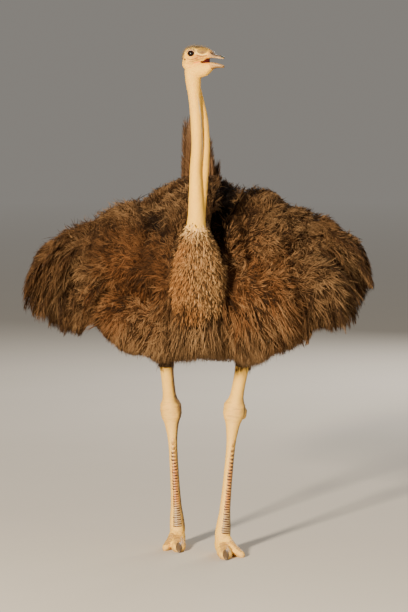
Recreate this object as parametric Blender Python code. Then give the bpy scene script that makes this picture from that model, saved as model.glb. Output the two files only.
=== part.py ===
"""A life-size ostrich hen in metres, +Z up, facing -Y with her wings lowered and spread.

The body, each wing, the breast and the tail are cores that carry overlapping plumes. The head is
turned to the bird's left with the bill parted, and the left foot stands ahead of the right.
"""

import math
import random

import bmesh
import bpy
from mathutils import Matrix, Vector

# Clearance between neighbouring pieces, and directions in the bird's frame
GAP = 0.0003
FRONT = Vector((0.0, -1.0, 0.0))
UP = Vector((0.0, 0.0, 1.0))
DOWN = Vector((0.0, 0.0, -1.0))

# Walls between the plumed regions: where each wing leaves the body, the breast leaves the chest
# with the body's plumes at its sides, and the tail leaves the rump
WING_WALL_X = 0.30
WING_WALL_Z = 0.85
WING_WALL_SLOPE = 0.20
BREAST_WALL_Y = -0.30
BREAST_WALL_X = 0.128
TAIL_WALL_Y = 0.40
TAIL_WALL_Z = 1.16
WING_BACK_Y = 0.26

# Body core: X, Y, Z, half width and half height, from the chest to the rump
BODY_STATIONS = (
    (0.0, -0.36, 1.045, 0.080, 0.130),
    (0.0, -0.30, 1.055, 0.130, 0.180),
    (0.0, -0.20, 1.080, 0.200, 0.222),
    (0.0, 0.00, 1.098, 0.246, 0.250),
    (0.0, 0.18, 1.098, 0.230, 0.238),
    (0.0, 0.32, 1.096, 0.182, 0.184),
    (0.0, 0.43, 1.102, 0.115, 0.115),
    (0.0, 0.50, 1.105, 0.050, 0.050),
)
BODY_SIDES = 16

# Wing core of the left wing: X, Y, Z, half height and half depth, from inside the body to the tip
WING_STATIONS = (
    (0.10, 0.02, 1.130, 0.190, 0.150),
    (0.24, 0.01, 1.120, 0.192, 0.140),
    (0.36, 0.02, 1.092, 0.168, 0.110),
    (0.45, 0.02, 1.067, 0.145, 0.085),
    (0.52, 0.01, 1.042, 0.105, 0.060),
    (0.560, 0.00, 1.018, 0.052, 0.036),
)
WING_SIDES = 12

# Breast: X, Y, Z, half width and half depth, from the foot of the bare neck down to the belly
BREAST_STATIONS = (
    (-0.006, -0.462, 1.222, 0.034, 0.036),
    (-0.005, -0.448, 1.190, 0.056, 0.060),
    (-0.002, -0.412, 1.135, 0.078, 0.092),
    (0.003, -0.375, 1.060, 0.094, 0.118),
    (0.006, -0.345, 0.985, 0.098, 0.128),
    (0.006, -0.320, 0.915, 0.088, 0.112),
    (0.006, -0.300, 0.860, 0.060, 0.076),
)

# Neck: X, Y, Z, half width and half depth of the column, from the breast up into the head
NECK_STATIONS = (
    (-0.006, -0.464, 1.225, 0.0370, 0.0390),
    (-0.005, -0.478, 1.285, 0.0300, 0.0345),
    (-0.006, -0.488, 1.350, 0.0260, 0.0320),
    (-0.007, -0.490, 1.440, 0.0215, 0.0300),
    (-0.002, -0.486, 1.530, 0.0205, 0.0285),
    (-0.005, -0.480, 1.620, 0.0212, 0.0275),
    (-0.011, -0.474, 1.700, 0.0225, 0.0275),
    (-0.0165, -0.467, 1.760, 0.0275, 0.0300),
    (-0.0160, -0.465, 1.800, 0.0300, 0.0320),
)
# Windpipe and gullet beside the column: the same five sizes
GULLET_STATIONS = (
    (0.002, -0.470, 1.225, 0.0240, 0.0240),
    (0.007, -0.472, 1.300, 0.0215, 0.0215),
    (0.0125, -0.472, 1.350, 0.0205, 0.0205),
    (0.0200, -0.470, 1.440, 0.0190, 0.0200),
    (0.0250, -0.464, 1.530, 0.0180, 0.0190),
    (0.0195, -0.458, 1.620, 0.0165, 0.0180),
    (0.0040, -0.456, 1.700, 0.0140, 0.0160),
    (-0.0060, -0.460, 1.750, 0.0120, 0.0140),
)
NECK_SIDES = 12
NECK_JOINTS = (1.235, 1.49, 1.752)

# Head: the middle of the skull, the way it faces, and sizes along it
HEAD_CENTRE = Vector((-0.011, -0.468, 1.852))
HEAD_YAW = math.radians(65.0)
BEAK_ROOT = 0.056
LOWER_BEAK_ROOT = 0.066
# Station ahead of the eye, half width, lowest and highest point from the eye's level
SKULL_STATIONS = (
    (-0.039, 0.0120, -0.0340, -0.0060),
    (-0.035, 0.0230, -0.0480, 0.0060),
    (-0.026, 0.0330, -0.0540, 0.0170),
    (-0.012, 0.0385, -0.0520, 0.0240),
    (0.004, 0.0400, -0.0460, 0.0262),
    (0.018, 0.0370, -0.0400, 0.0255),
    (0.031, 0.0320, -0.0320, 0.0236),
    (0.042, 0.0275, -0.0255, 0.0210),
    (0.052, 0.0240, -0.0195, 0.0182),
    (0.062, 0.0222, -0.0165, 0.0145),
    (0.073, 0.0208, -0.0158, 0.0075),
    (0.092, 0.0182, -0.0165, -0.0018),
    (0.104, 0.0150, -0.0182, -0.0062),
    (0.1115, 0.0098, -0.0202, -0.0092),
    (0.1150, 0.0045, -0.0185, -0.0130),
)
JAW_STATIONS = (
    (-0.026, 0.0240, -0.0800, -0.0400),
    (-0.012, 0.0290, -0.0880, -0.0340),
    (0.004, 0.0300, -0.0910, -0.0280),
    (0.020, 0.0290, -0.0880, -0.0270),
    (0.034, 0.0265, -0.0830, -0.0305),
    (0.046, 0.0235, -0.0770, -0.0335),
    (0.058, 0.0205, -0.0660, -0.0347),
    (0.068, 0.0190, -0.0580, -0.0358),
    (0.080, 0.0180, -0.0530, -0.0372),
    (0.094, 0.0165, -0.0508, -0.0388),
    (0.104, 0.0140, -0.0508, -0.0402),
    (0.111, 0.0095, -0.0512, -0.0425),
    (0.1145, 0.0045, -0.0500, -0.0455),
)
HEAD_SIDES = 12
EYE_RADIUS = 0.0165
EYE_OUT = 0.0262
EYE_AHEAD = 0.000
EYE_LOOKS_AHEAD = math.radians(12.0)
LID_RADIUS = 0.0136
LID_THICKNESS = 0.0032
EAR_BACK = -0.023
EAR_DROP = -0.022
EAR_RADIUS = 0.0046
NOSTRIL_AHEAD = 0.0715
NOSTRIL_SIZE = (0.0060, 0.0024, 0.0030)

# Legs: for the right and the left, the knee end, the hock, the foot of the shaft and how far the
# big toe and the outer toe turn outward
LEGS = {
    "right": {
        "side": -1.0,
        "knee": Vector((-0.134, 0.010, 0.860)),
        "hock": Vector((-0.102, 0.150, 0.516)),
        "ankle": Vector((-0.0784, 0.126, 0.085)),
        "toe_turn": math.radians(-3.0),
        "outer_turn": math.radians(24.0),
    },
    "left": {
        "side": 1.0,
        "knee": Vector((0.192, -0.107, 0.860)),
        "hock": Vector((0.134, -0.012, 0.534)),
        "ankle": Vector((0.0925, -0.048, 0.085)),
        "toe_turn": math.radians(4.0),
        "outer_turn": math.radians(40.0),
    },
}
# Share of the way down the shank, half width and half depth
SHANK_SIZES = (
    (-0.10, 0.050, 0.064),
    (0.20, 0.042, 0.055),
    (0.45, 0.0275, 0.036),
    (0.62, 0.0228, 0.031),
    (0.80, 0.0240, 0.032),
    (0.90, 0.0320, 0.040),
    (0.97, 0.0395, 0.046),
    (1.06, 0.0400, 0.046),
)
# The same down the shaft below the hock, whose front carries the scutes
SHAFT_SIZES = (
    (-0.06, 0.0390, 0.0450),
    (0.02, 0.0395, 0.0450),
    (0.09, 0.0330, 0.0390),
    (0.18, 0.0225, 0.0290),
    (0.32, 0.0162, 0.0230),
    (0.62, 0.0172, 0.0240),
    (0.86, 0.0215, 0.0275),
    (0.96, 0.0270, 0.0330),
    (1.04, 0.0290, 0.0350),
)
LEG_SIDES = 10
SHAFT_RINGS = 34
SCUTE_START = 0.25
SCUTE_RISE = 0.0022
# Big toe: way ahead of the ankle, half width, highest point and how far the ring dips below
# the floor before the sole is cut flat
TOE_SIZES = (
    (-0.048, 0.013, 0.030, 0.000),
    (-0.041, 0.023, 0.048, 0.004),
    (-0.022, 0.030, 0.074, 0.006),
    (0.004, 0.031, 0.078, 0.006),
    (0.030, 0.029, 0.058, 0.005),
    (0.052, 0.027, 0.044, 0.003),
    (0.074, 0.029, 0.043, 0.006),
    (0.096, 0.026, 0.034, 0.002),
    (0.114, 0.026, 0.034, 0.005),
    (0.130, 0.020, 0.027, 0.003),
    (0.141, 0.010, 0.018, 0.000),
)
OUTER_TOE_SIZES = (
    (0.000, 0.018, 0.040, 0.004),
    (0.035, 0.018, 0.036, 0.004),
    (0.056, 0.0165, 0.030, 0.002),
    (0.074, 0.0170, 0.029, 0.004),
    (0.092, 0.0145, 0.023, 0.002),
    (0.106, 0.0130, 0.021, 0.003),
    (0.117, 0.0060, 0.012, 0.000),
)
ANKLE_SPLIT = 0.085
CLAW_START = 0.128
CLAW_LENGTH = 0.030

# Feathers of the breast and plumes of the body: length, width and thickness
BREAST_FEATHER = (0.135, 0.086, 0.0095)
BACK_PLUME = (0.250, 0.140, 0.019)
CHEST_PLUME = (0.260, 0.122, 0.016)
SHOULDER_PLUME = (0.210, 0.128, 0.019)
SHOULDER_FRONT_PLUME = (0.240, 0.120, 0.017)
HANGING_WIDTH = 0.122
HANGING_THICKNESS = 0.014
# Plumes of a wing: length at its root, length at its tip, width and thickness
WING_TOP_PLUME = (0.180, 0.130, 0.120, 0.016)
WING_SIDE_PLUME = (0.255, 0.150, 0.124, 0.016)
WING_UNDER_PLUME = (0.215, 0.130, 0.115, 0.014)
# How far the plumes stand off what they grow from, in radians
BREAST_LIFTS = (0.16, 0.26)
BACK_LIFT = 0.33
CHEST_LIFT = 0.42
SHOULDER_LIFT = 0.46
SHOULDER_FRONT_LIFT = 0.36
WING_TOP_LIFTS = (0.42, 0.26)
WING_SIDE_LIFT = 0.32
# Where the wing's arm begins and how far it runs, and where it covers the body's side
ARM_START_X = 0.25
ARM_REACH = 0.29
ARM_COVER_X = 0.205
ARM_COVER_Y = 0.11
ARM_COVER_Z = 1.06
# Plumes and tail vanes: share of the length, share of the width
PLUME_SHAPE = ((0.0, 0.50), (0.42, 1.0), (0.82, 0.64))
VANE_SHAPE = ((0.0, 0.40), (0.35, 0.92), (0.72, 1.0), (0.93, 0.55))
PLUME_SINK = 0.024
# No two plumes lie flat on the same plane: each stays clear of the walls by its own inset
MOST_INSET = 0.004
PLUME_DROOP = 0.16
# Rings of plumes on the body core, from its left side down and round: share of its length, how
# many, the turn of the first and how far round they go, in degrees
BODY_ROWS = (
    (0.12, 8, 0, 360),
    (0.24, 9, 10, 360),
    (0.36, 10, 0, 360),
    (0.48, 10, 16, 360),
    (0.60, 10, 0, 360),
    (0.72, 9, 16, 360),
    (0.84, 8, 0, 360),
)
# The same over the top of each wing's root, which belongs to the body
SHOULDER_ROWS = (
    (0.03, 3, -50, 120),
    (0.10, 4, -62, 130),
)
# The same on a wing's core, from its top
WING_ROWS = (
    (0.18, 4, -60, 140),
    (0.29, 8, 22, 360),
    (0.41, 8, 0, 360),
    (0.53, 8, 22, 360),
    (0.65, 7, 0, 360),
    (0.78, 6, 25, 360),
    (0.91, 5, 0, 360),
)
# The same on the breast, from its left side round the front
BREAST_ROWS = (
    (0.13, 5, -25, 260),
    (0.30, 5, -5, 240),
    (0.47, 5, -25, 270),
    (0.64, 5, -5, 230),
    (0.81, 5, -25, 270),
)
# Where the hanging plumes of the body end, under its middle and under its sides
BELLY_FRINGE_Z = 0.738
SIDE_FRINGE_Z = 0.712
# How far the outermost tail vanes turn their flats sideways
VANE_TURN = math.radians(62.0)
VANE_WIDTH = 0.066
VANE_THICKNESS = 0.009
RUMP_RADII = (0.060, 0.052, 0.085)
# Tail vanes in tiers: lean back from upright in degrees, length, how many and the fan's half width
TAIL_TIERS = (
    (1.0, 0.410, 3, 0.045),
    (13.0, 0.400, 4, 0.058),
    (27.0, 0.370, 3, 0.050),
    (44.0, 0.320, 3, 0.052),
    (62.0, 0.280, 3, 0.044),
)
TAIL_ROOT = Vector((0.004, 0.450, 1.200))
SEEDS = {"breast": 11, "torso": 12, "wing_right": 13, "wing_left": 14, "tail": 15}

# Colours of the materials, as linear values
SKIN = (0.76, 0.60, 0.37)
LEG_SKIN = (0.80, 0.68, 0.46)
HORN = (0.52, 0.42, 0.30)
BROWN = (0.120, 0.066, 0.032)
GREY_BROWN = (0.24, 0.155, 0.085)
CLAW_BROWN = (0.10, 0.08, 0.06)
EYE_BROWN = (0.02, 0.012, 0.008)


def clear_scene():
    """Removes what the scene starts with."""
    for thing in list(bpy.data.objects):
        bpy.data.objects.remove(thing, do_unlink=True)


def material(name, colour, roughness):
    """A plain material of one colour and roughness."""
    made = bpy.data.materials.new(name)
    made.use_nodes = True
    shader = made.node_tree.nodes["Principled BSDF"]
    shader.inputs["Base Color"].default_value = (*colour, 1.0)
    shader.inputs["Roughness"].default_value = roughness
    return made


def add_object(name, mesh, finish, home):
    """Puts a mesh into a collection as a smooth, named object."""
    made = bpy.data.objects.new(name, mesh)
    mesh.materials.clear()
    mesh.materials.append(finish)
    mesh.shade_smooth()
    home.objects.link(made)
    return made


def from_bmesh(name, shape, finish, home):
    """Turns a finished bmesh into an object with its faces pointing out."""
    bmesh.ops.recalc_face_normals(shape, faces=shape.faces)
    mesh = bpy.data.meshes.new(name)
    shape.to_mesh(mesh)
    shape.free()
    return add_object(name, mesh, finish, home)


def loft(name, rings, finish, home, tip=None):
    """A closed skin over rings of points, with flat ends or a pointed tip."""
    shape = bmesh.new()
    loops = [[shape.verts.new(point) for point in ring] for ring in rings]
    for ahead, behind in zip(loops, loops[1:]):
        for one, following in zip(range(len(ahead)), [*range(1, len(ahead)), 0]):
            shape.faces.new((ahead[one], ahead[following], behind[following], behind[one]))
    shape.faces.new(loops[0])
    if tip is None:
        shape.faces.new(loops[-1])
    else:
        point = shape.verts.new(tip)
        for one, following in zip(range(len(loops[-1])), [*range(1, len(loops[-1])), 0]):
            shape.faces.new((loops[-1][one], loops[-1][following], point))
    return from_bmesh(name, shape, finish, home)


def smooth_stations(stations, count):
    """Rows of numbers along a smooth curve through the given rows."""
    rows = [stations[0], *stations, stations[-1]]
    spans = len(stations) - 1
    found = []
    for step in range(count):
        place = spans * step / (count - 1)
        span = min(int(place), spans - 1)
        t = place - span
        row = []
        for p, q, r, s in zip(*rows[span : span + 4]):
            square = 2 * p - 5 * q + 4 * r - s
            cube = 3 * q - p - 3 * r + s
            row.append(0.5 * (2 * q + (r - p) * t + square * t**2 + cube * t**3))
        found.append(tuple(row))
    return found


def oval(centre, across, upward, half_across, half_up, sides):
    """Points of an oval ring."""
    turns = [2 * math.pi * k / sides for k in range(sides)]
    return [
        centre + across * half_across * math.cos(turn) + upward * half_up * math.sin(turn)
        for turn in turns
    ]


def limb_rings(stations, sides, across=Vector((1.0, 0.0, 0.0))):
    """Rings square to a path whose stations are X, Y, Z, half width and half depth."""
    rings = []
    last = len(stations) - 1
    for k, (x, y, z, half_width, half_depth) in enumerate(stations):
        ahead = Vector(stations[min(k + 1, last)][:3]) - Vector(stations[max(k - 1, 0)][:3])
        depth = ahead.cross(across).normalized()
        width = depth.cross(ahead).normalized()
        rings.append(oval(Vector((x, y, z)), width, depth, half_width, half_depth, sides))
    return rings


def bisect(thing, point, normal):
    """Cuts away what lies beyond a plane and closes the cut with a flat face."""
    shape = bmesh.new()
    shape.from_mesh(thing.data)
    whole = [*shape.verts, *shape.edges, *shape.faces]
    bmesh.ops.bisect_plane(shape, geom=whole, plane_co=point, plane_no=normal, clear_outer=True)
    rim = [edge for edge in shape.edges if edge.is_boundary]
    if rim:
        bmesh.ops.holes_fill(shape, edges=rim)
    bmesh.ops.recalc_face_normals(shape, faces=shape.faces)
    shape.to_mesh(thing.data)
    shape.free()
    return thing


def keep_largest(thing):
    """Keeps the largest closed surface of a mesh."""
    shape = bmesh.new()
    shape.from_mesh(thing.data)
    waiting = set(shape.faces)
    surfaces = []
    while waiting:
        surface = {waiting.pop()}
        edge_of = list(surface)
        while edge_of:
            face = edge_of.pop()
            for edge in face.edges:
                for beyond in edge.link_faces:
                    if beyond in waiting:
                        waiting.remove(beyond)
                        surface.add(beyond)
                        edge_of.append(beyond)
        surfaces.append(surface)
    largest = max(surfaces, key=lambda faces: sum(face.calc_area() for face in faces))
    spare = [face for face in shape.faces if face not in largest]
    bmesh.ops.delete(shape, geom=spare, context="FACES")
    shape.to_mesh(thing.data)
    shape.free()
    return thing


def combine(thing, pieces, operation, solver="EXACT"):
    """Joins pieces to a closed mesh, or cuts them from it, and removes them."""
    if not pieces:
        return thing
    group = bpy.data.collections.new("joined_pieces")
    for piece in pieces:
        group.objects.link(piece)
    step = thing.modifiers.new("combine", "BOOLEAN")
    step.operation = operation
    step.operand_type = "COLLECTION"
    step.collection = group
    step.solver = solver
    graph = bpy.context.evaluated_depsgraph_get()
    mesh = bpy.data.meshes.new_from_object(thing.evaluated_get(graph))
    thing.modifiers.clear()
    thing.data = mesh
    for piece in pieces:
        bpy.data.objects.remove(piece, do_unlink=True)
    bpy.data.collections.remove(group)
    keep_largest(thing)
    thing.data.shade_smooth()
    return thing


class Wall:
    """A plane that a node's plumes stay on one side of, by half the gap."""

    def __init__(self, point, outward):
        self.outward = outward.normalized()
        self.limit = self.outward.dot(point) - GAP / 2

    def push(self, points, inset):
        """How far these points have to move back to be clear by an inset."""
        over = max(self.outward.dot(point) for point in points) - self.limit + inset
        return -self.outward * max(over, 0.0)


def wing_wall(side, keep_out):
    """The wall at one wing's root, for the wing itself or for what stays out of the wing."""
    outward = Vector((side, 0.0, WING_WALL_SLOPE))
    point = Vector((side * WING_WALL_X, 0.0, WING_WALL_Z))
    return Wall(point, outward if keep_out else -outward)


def kept_clear(points, walls, inset):
    """The points moved together until every wall is clear by an inset."""
    for wall in walls:
        shift = wall.push(points, inset)
        points = [point + shift for point in points]
    return points


def feather(root, grow, crown, size, bend, walls, inset, shape, finish, home):
    """One flat, tapered feather that bends along its length: thin at the edges, thicker midway."""
    length, width, thickness = size
    side = grow.cross(crown).normalized()
    rings = []
    for share, spread in shape:
        middle = root + grow * length * share + bend * length * share**2
        rise = side.cross(grow + bend * 2 * share).normalized() * thickness * (1.0 - 0.6 * share)
        half = side * width * spread / 2
        rings.append(kept_clear([middle - half, middle + rise, middle + half], walls, inset))
    point = kept_clear([root + grow * length + bend * length], walls, inset)[0]
    return loft("feather", rings, finish, home, point)


def build():
    """Makes every piece of the bird."""
    clear_scene()
    home = bpy.data.collections.new("ostrich")
    bpy.context.scene.collection.children.link(home)
    finishes = {
        "skin": material("bare_neck_skin", SKIN, 0.7),
        "leg": material("scaly_leg_skin", LEG_SKIN, 0.6),
        "horn": material("horn", HORN, 0.45),
        "claw": material("dark_claw", CLAW_BROWN, 0.4),
        "eye": material("dark_eye", EYE_BROWN, 0.08),
        "brown": material("brown_plumes", BROWN, 0.85),
        "grey": material("grey_brown_breast", GREY_BROWN, 0.85),
    }
    build_head(home, finishes)
    build_neck(home, finishes)
    build_breast(home, finishes)
    legs = build_legs(home, finishes)
    build_body(home, finishes, legs)
    for side, name in ((-1.0, "wing_right"), (1.0, "wing_left")):
        build_wing(home, finishes, side, name)
    build_tail(home, finishes)
    centre_on_origin(home)


def centre_on_origin(home):
    """Moves the bird so that the origin is on the floor under the middle of its outline."""
    corners = [point.co for thing in home.objects for point in thing.data.vertices]
    middle = Vector([(min(row) + max(row)) / 2 for row in zip(*corners)])
    for thing in home.objects:
        thing.data.transform(Matrix.Translation(Vector((-middle.x, -middle.y, 0.0))))


def head_point(ahead, out, height):
    """A point of the head, from its place ahead of the eye, out to the bird's right, and up."""
    facing = Vector((math.sin(HEAD_YAW), -math.cos(HEAD_YAW), 0.0))
    right = facing.cross(UP)
    return HEAD_CENTRE + facing * ahead + right * out + UP * height


def head_rings(stations):
    """Rings square to the head's length, from rows of place, half width, lowest and highest."""
    across = head_point(0.0, 1.0, 0.0) - HEAD_CENTRE
    rings = []
    for ahead, half_width, low, high in stations:
        middle = head_point(ahead, 0.0, (low + high) / 2)
        rings.append(oval(middle, across, UP, half_width, (high - low) / 2, HEAD_SIDES))
    return rings


def split_stations(stations, place):
    """The rows behind a place and those ahead of it, with one more row of each at the cut."""
    behind = [row for row in stations if row[0] < place]
    ahead = [row for row in stations if row[0] > place]
    a, b = behind[-1], ahead[0]
    cuts = []
    for spot in (place - GAP / 2, place + GAP / 2):
        share = (spot - a[0]) / (b[0] - a[0])
        cuts.append(tuple(p + (q - p) * share for p, q in zip(a, b)))
    return [*behind, cuts[0]], [cuts[1], *ahead]


def build_head(home, finishes):
    """Skull, cheeks and throat, the two halves of the bill, the lids, ears and eyes."""
    skull, upper = split_stations(SKULL_STATIONS, BEAK_ROOT)
    jaw, lower = split_stations(JAW_STATIONS, LOWER_BEAK_ROOT)
    head = loft("head", head_rings(skull), finishes["skin"], home)
    pieces = [loft("jaw", head_rings(jaw), finishes["skin"], home)]
    stub = [row for row in smooth_stations(NECK_STATIONS, 24) if row[2] > NECK_JOINTS[-1] - 0.02]
    neck = loft("neck_stub", limb_rings(stub, NECK_SIDES), finishes["skin"], home)
    pieces.append(bisect(neck, Vector((0, 0, NECK_JOINTS[-1] + GAP / 2)), DOWN))
    sockets = []
    for side, name in ((1.0, "right"), (-1.0, "left")):
        lids, eye_centre, gaze = build_lids(home, finishes, side)
        pieces.append(lids)
        socket = ball("socket", eye_centre, (EYE_RADIUS + GAP,) * 3, finishes["skin"], home, 12)
        sockets.append(socket)
        ball("eye_" + name, eye_centre, (EYE_RADIUS,) * 3, finishes["eye"], home, 12)
        rim, hollow = build_ear(home, finishes, side)
        pieces.append(rim)
        sockets.append(hollow)
    combine(head, pieces, "UNION")
    combine(head, sockets, "DIFFERENCE")
    bill = loft("beak_upper", head_rings(upper), finishes["horn"], home)
    combine(bill, [nostril(side, finishes, home) for side in (1.0, -1.0)], "DIFFERENCE")
    loft("beak_lower", head_rings(lower), finishes["horn"], home)


def ball(name, centre, radii, finish, home, segments, turn=None):
    """A ball or an egg shape, turned if a matrix is given."""
    shape = bmesh.new()
    bmesh.ops.create_uvsphere(shape, u_segments=segments, v_segments=segments // 2 + 1, radius=1.0)
    sizes = Matrix.Diagonal((*radii, 1.0))
    place = Matrix.Translation(centre) @ (turn.to_4x4() if turn else Matrix.Identity(4)) @ sizes
    bmesh.ops.transform(shape, matrix=place, verts=shape.verts)
    return from_bmesh(name, shape, finish, home)


def ring_of_skin(name, centre, axis, radius, thickness, squash, steps, finish, home):
    """A raised rim of skin round an opening, as a low ring."""
    bpy.ops.mesh.primitive_torus_add(
        major_segments=steps, minor_segments=5, major_radius=radius, minor_radius=thickness
    )
    made = bpy.context.object
    for linked in list(made.users_collection):
        linked.objects.unlink(made)
    place = Matrix.Translation(centre) @ axis.to_track_quat("Z", "Y").to_matrix().to_4x4()
    made.data.transform(place @ Matrix.Diagonal((1.0, squash, 1.0, 1.0)))
    made.name = name
    made.data.materials.append(finish)
    home.objects.link(made)
    return made


def build_lids(home, finishes, side):
    """The ring of both lids round one eye, with the eye's middle and the way it looks."""
    look = head_point(math.sin(EYE_LOOKS_AHEAD), side * math.cos(EYE_LOOKS_AHEAD), 0.06)
    gaze = (look - HEAD_CENTRE).normalized()
    eye_centre = head_point(EYE_AHEAD, side * EYE_OUT, 0.0)
    reach = math.sqrt(EYE_RADIUS**2 - (LID_RADIUS - LID_THICKNESS / 2) ** 2)
    middle = eye_centre + gaze * reach
    skin = finishes["skin"]
    lids = ring_of_skin("lids", middle, gaze, LID_RADIUS, LID_THICKNESS, 0.94, 14, skin, home)
    return lids, eye_centre, gaze


def build_ear(home, finishes, side):
    """The raised rim of one ear opening and the hollow inside it."""
    out = 0.0315
    place = head_point(EAR_BACK, side * out, EAR_DROP)
    axis = (head_point(-0.35, side, 0.0) - HEAD_CENTRE).normalized()
    rim = ring_of_skin("ear_rim", place, axis, EAR_RADIUS, 0.0020, 1.3, 8, finishes["skin"], home)
    hollow = ball("ear_hollow", place, (EAR_RADIUS - 0.0012,) * 3, finishes["skin"], home, 8)
    return rim, hollow


def nostril(side, finishes, home):
    """A slit cutter for one nostril."""
    turn = Matrix.Rotation(HEAD_YAW - math.pi / 2, 3, "Z")
    centre = head_point(NOSTRIL_AHEAD, side * 0.0130, 0.0050)
    return ball("nostril", centre, NOSTRIL_SIZE, finishes["horn"], home, 10, turn)


def build_neck(home, finishes):
    """The bare neck in two lengths, each the column with the gullet beside it."""
    column = smooth_stations(NECK_STATIONS, 22)
    gullet = smooth_stations(GULLET_STATIONS, 16)
    for name, low, high in (
        ("neck_lower", NECK_JOINTS[0], NECK_JOINTS[1]),
        ("neck_upper", NECK_JOINTS[1], NECK_JOINTS[2]),
    ):
        length = loft(name, limb_rings(column, NECK_SIDES), finishes["skin"], home)
        side_tube = loft("gullet", limb_rings(gullet, 8), finishes["skin"], home)
        combine(length, [side_tube], "UNION")
        bisect(length, Vector((0, 0, low + GAP / 2)), DOWN)
        bisect(length, Vector((0, 0, high - GAP / 2)), UP)


class Core:
    """A rounded solid that feathers grow from, with the points of its skin and their way out."""

    def __init__(self, stations, across=Vector((1.0, 0.0, 0.0))):
        rows = smooth_stations(stations, 61)
        self.rings = limb_rings(rows, 36, across)
        self.middles = [Vector(row[:3]) for row in rows]

    def at(self, share, turn):
        """A point on the skin, from a share of the length and a turn, with the way out there."""
        k = min(int(share * 60), 59)
        spot = turn / (2 * math.pi) * 36
        j = int(spot) % 36
        one, following = self.rings[k][j], self.rings[k][(j + 1) % 36]
        point = one.lerp(following, spot - int(spot))
        out = (self.rings[k + 1][j] - one).cross(following - one).normalized()
        return point, out if out.dot(point - self.middles[k]) > 0 else -out


def feather_core(core, rows, draw, plan, finish, home):
    """Feathers in staggered rings on a core; the plan gives each one's direction, size and walls."""
    made = []
    for share, count, first, sweep in rows:
        for k in range(count):
            turn = math.radians(first + sweep * (k + draw.uniform(-0.22, 0.22)) / count)
            spot, out = core.at(share + draw.uniform(-0.025, 0.025), turn % (2 * math.pi))
            wanted = plan(spot, out, draw)
            if wanted is None:
                continue
            grow, crown, size, droop, walls = wanted
            length, width, thickness = size
            size = (length * draw.uniform(0.93, 1.07), width * draw.uniform(0.92, 1.08), thickness)
            root = spot - out * PLUME_SINK
            bend = DOWN * droop
            inset = draw.uniform(0.0, MOST_INSET)
            piece = feather(root, grow, crown, size, bend, walls, inset, PLUME_SHAPE, finish, home)
            made.append(piece)
    return made


def laid(flow, out, lift):
    """A direction along the skin, lifted from it by an angle."""
    along = (flow - out * flow.dot(out)).normalized()
    return along * math.cos(lift) + out * math.sin(lift)


def breast_walls():
    """The planes that the breast's feathers stay behind: at the chest, the neck and the sides."""
    walls = [Wall(Vector((0, BREAST_WALL_Y, 0)), -FRONT), Wall(Vector((0, 0, NECK_JOINTS[0])), UP)]
    for side in (-1.0, 1.0):
        walls.append(Wall(Vector((side * BREAST_WALL_X, 0, 0)), Vector((side, 0, 0))))
    return walls


def breast_plan(spot, out, draw):
    """Short feathers that lie down over the breast."""
    if spot.y > BREAST_WALL_Y - 0.03:
        return None
    flow = DOWN + Vector((draw.uniform(-0.18, 0.18), 0.25, 0.0))
    grow = laid(flow, out, draw.uniform(*BREAST_LIFTS))
    return grow, out, BREAST_FEATHER, 0.04, breast_walls()


def build_breast(home, finishes):
    """The feathered swell in front of the chest, from the foot of the neck to the belly."""
    draw = random.Random(SEEDS["breast"])
    rings = limb_rings(smooth_stations(BREAST_STATIONS, 11), 14)
    breast = loft("breast", rings, finishes["grey"], home)
    for wall in breast_walls():
        bisect(breast, wall.outward * wall.limit, wall.outward)
    core = Core(BREAST_STATIONS)
    made = feather_core(core, BREAST_ROWS, draw, breast_plan, finishes["grey"], home)
    combine(breast, made, "UNION", "MANIFOLD")


def body_walls(spot, hangs):
    """The planes that a body plume stays behind, by where its root is."""
    if abs(spot.x) > BREAST_WALL_X:
        side = math.copysign(1.0, spot.x)
        walls = [Wall(Vector((side * BREAST_WALL_X, 0, 0)), Vector((-side, 0, 0)))]
    else:
        walls = [Wall(Vector((0, BREAST_WALL_Y, 0)), FRONT)]
    if spot.y < WING_BACK_Y:
        walls += [wing_wall(-1.0, True), wing_wall(1.0, True)]
    else:
        walls.append(Wall(Vector((0, WING_BACK_Y, 0)), FRONT))
    if spot.z > TAIL_WALL_Z - 0.03 and spot.y < TAIL_WALL_Y - 0.02 and not hangs:
        walls.append(Wall(Vector((0, TAIL_WALL_Y, 0)), -FRONT))
    elif spot.y > 0.15:
        walls.append(Wall(Vector((0, 0, TAIL_WALL_Z)), UP))
    return walls


def hanging_plume(spot, out, sway):
    """A plume that hangs from the side or the belly down to the fringe."""
    back = 0.30 if spot.y < WING_BACK_Y else 0.75
    aside = 0.42 * abs(out.x) * math.copysign(1.0, spot.x)
    grow = (DOWN + Vector((aside, back, 0.0)) + sway).normalized()
    facing = Vector((0.8 * out.x, -0.9 if spot.y < 0.10 else 0.9, 0.0)).normalized()
    fringe = BELLY_FRINGE_Z if abs(spot.x) < 0.10 else SIDE_FRINGE_Z
    reach = (spot.z - fringe) * (1.0 if spot.y < WING_BACK_Y else 0.85) + 0.03
    size = (reach, HANGING_WIDTH, HANGING_THICKNESS)
    return grow, facing, size, 0.03, body_walls(spot, True)


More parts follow.
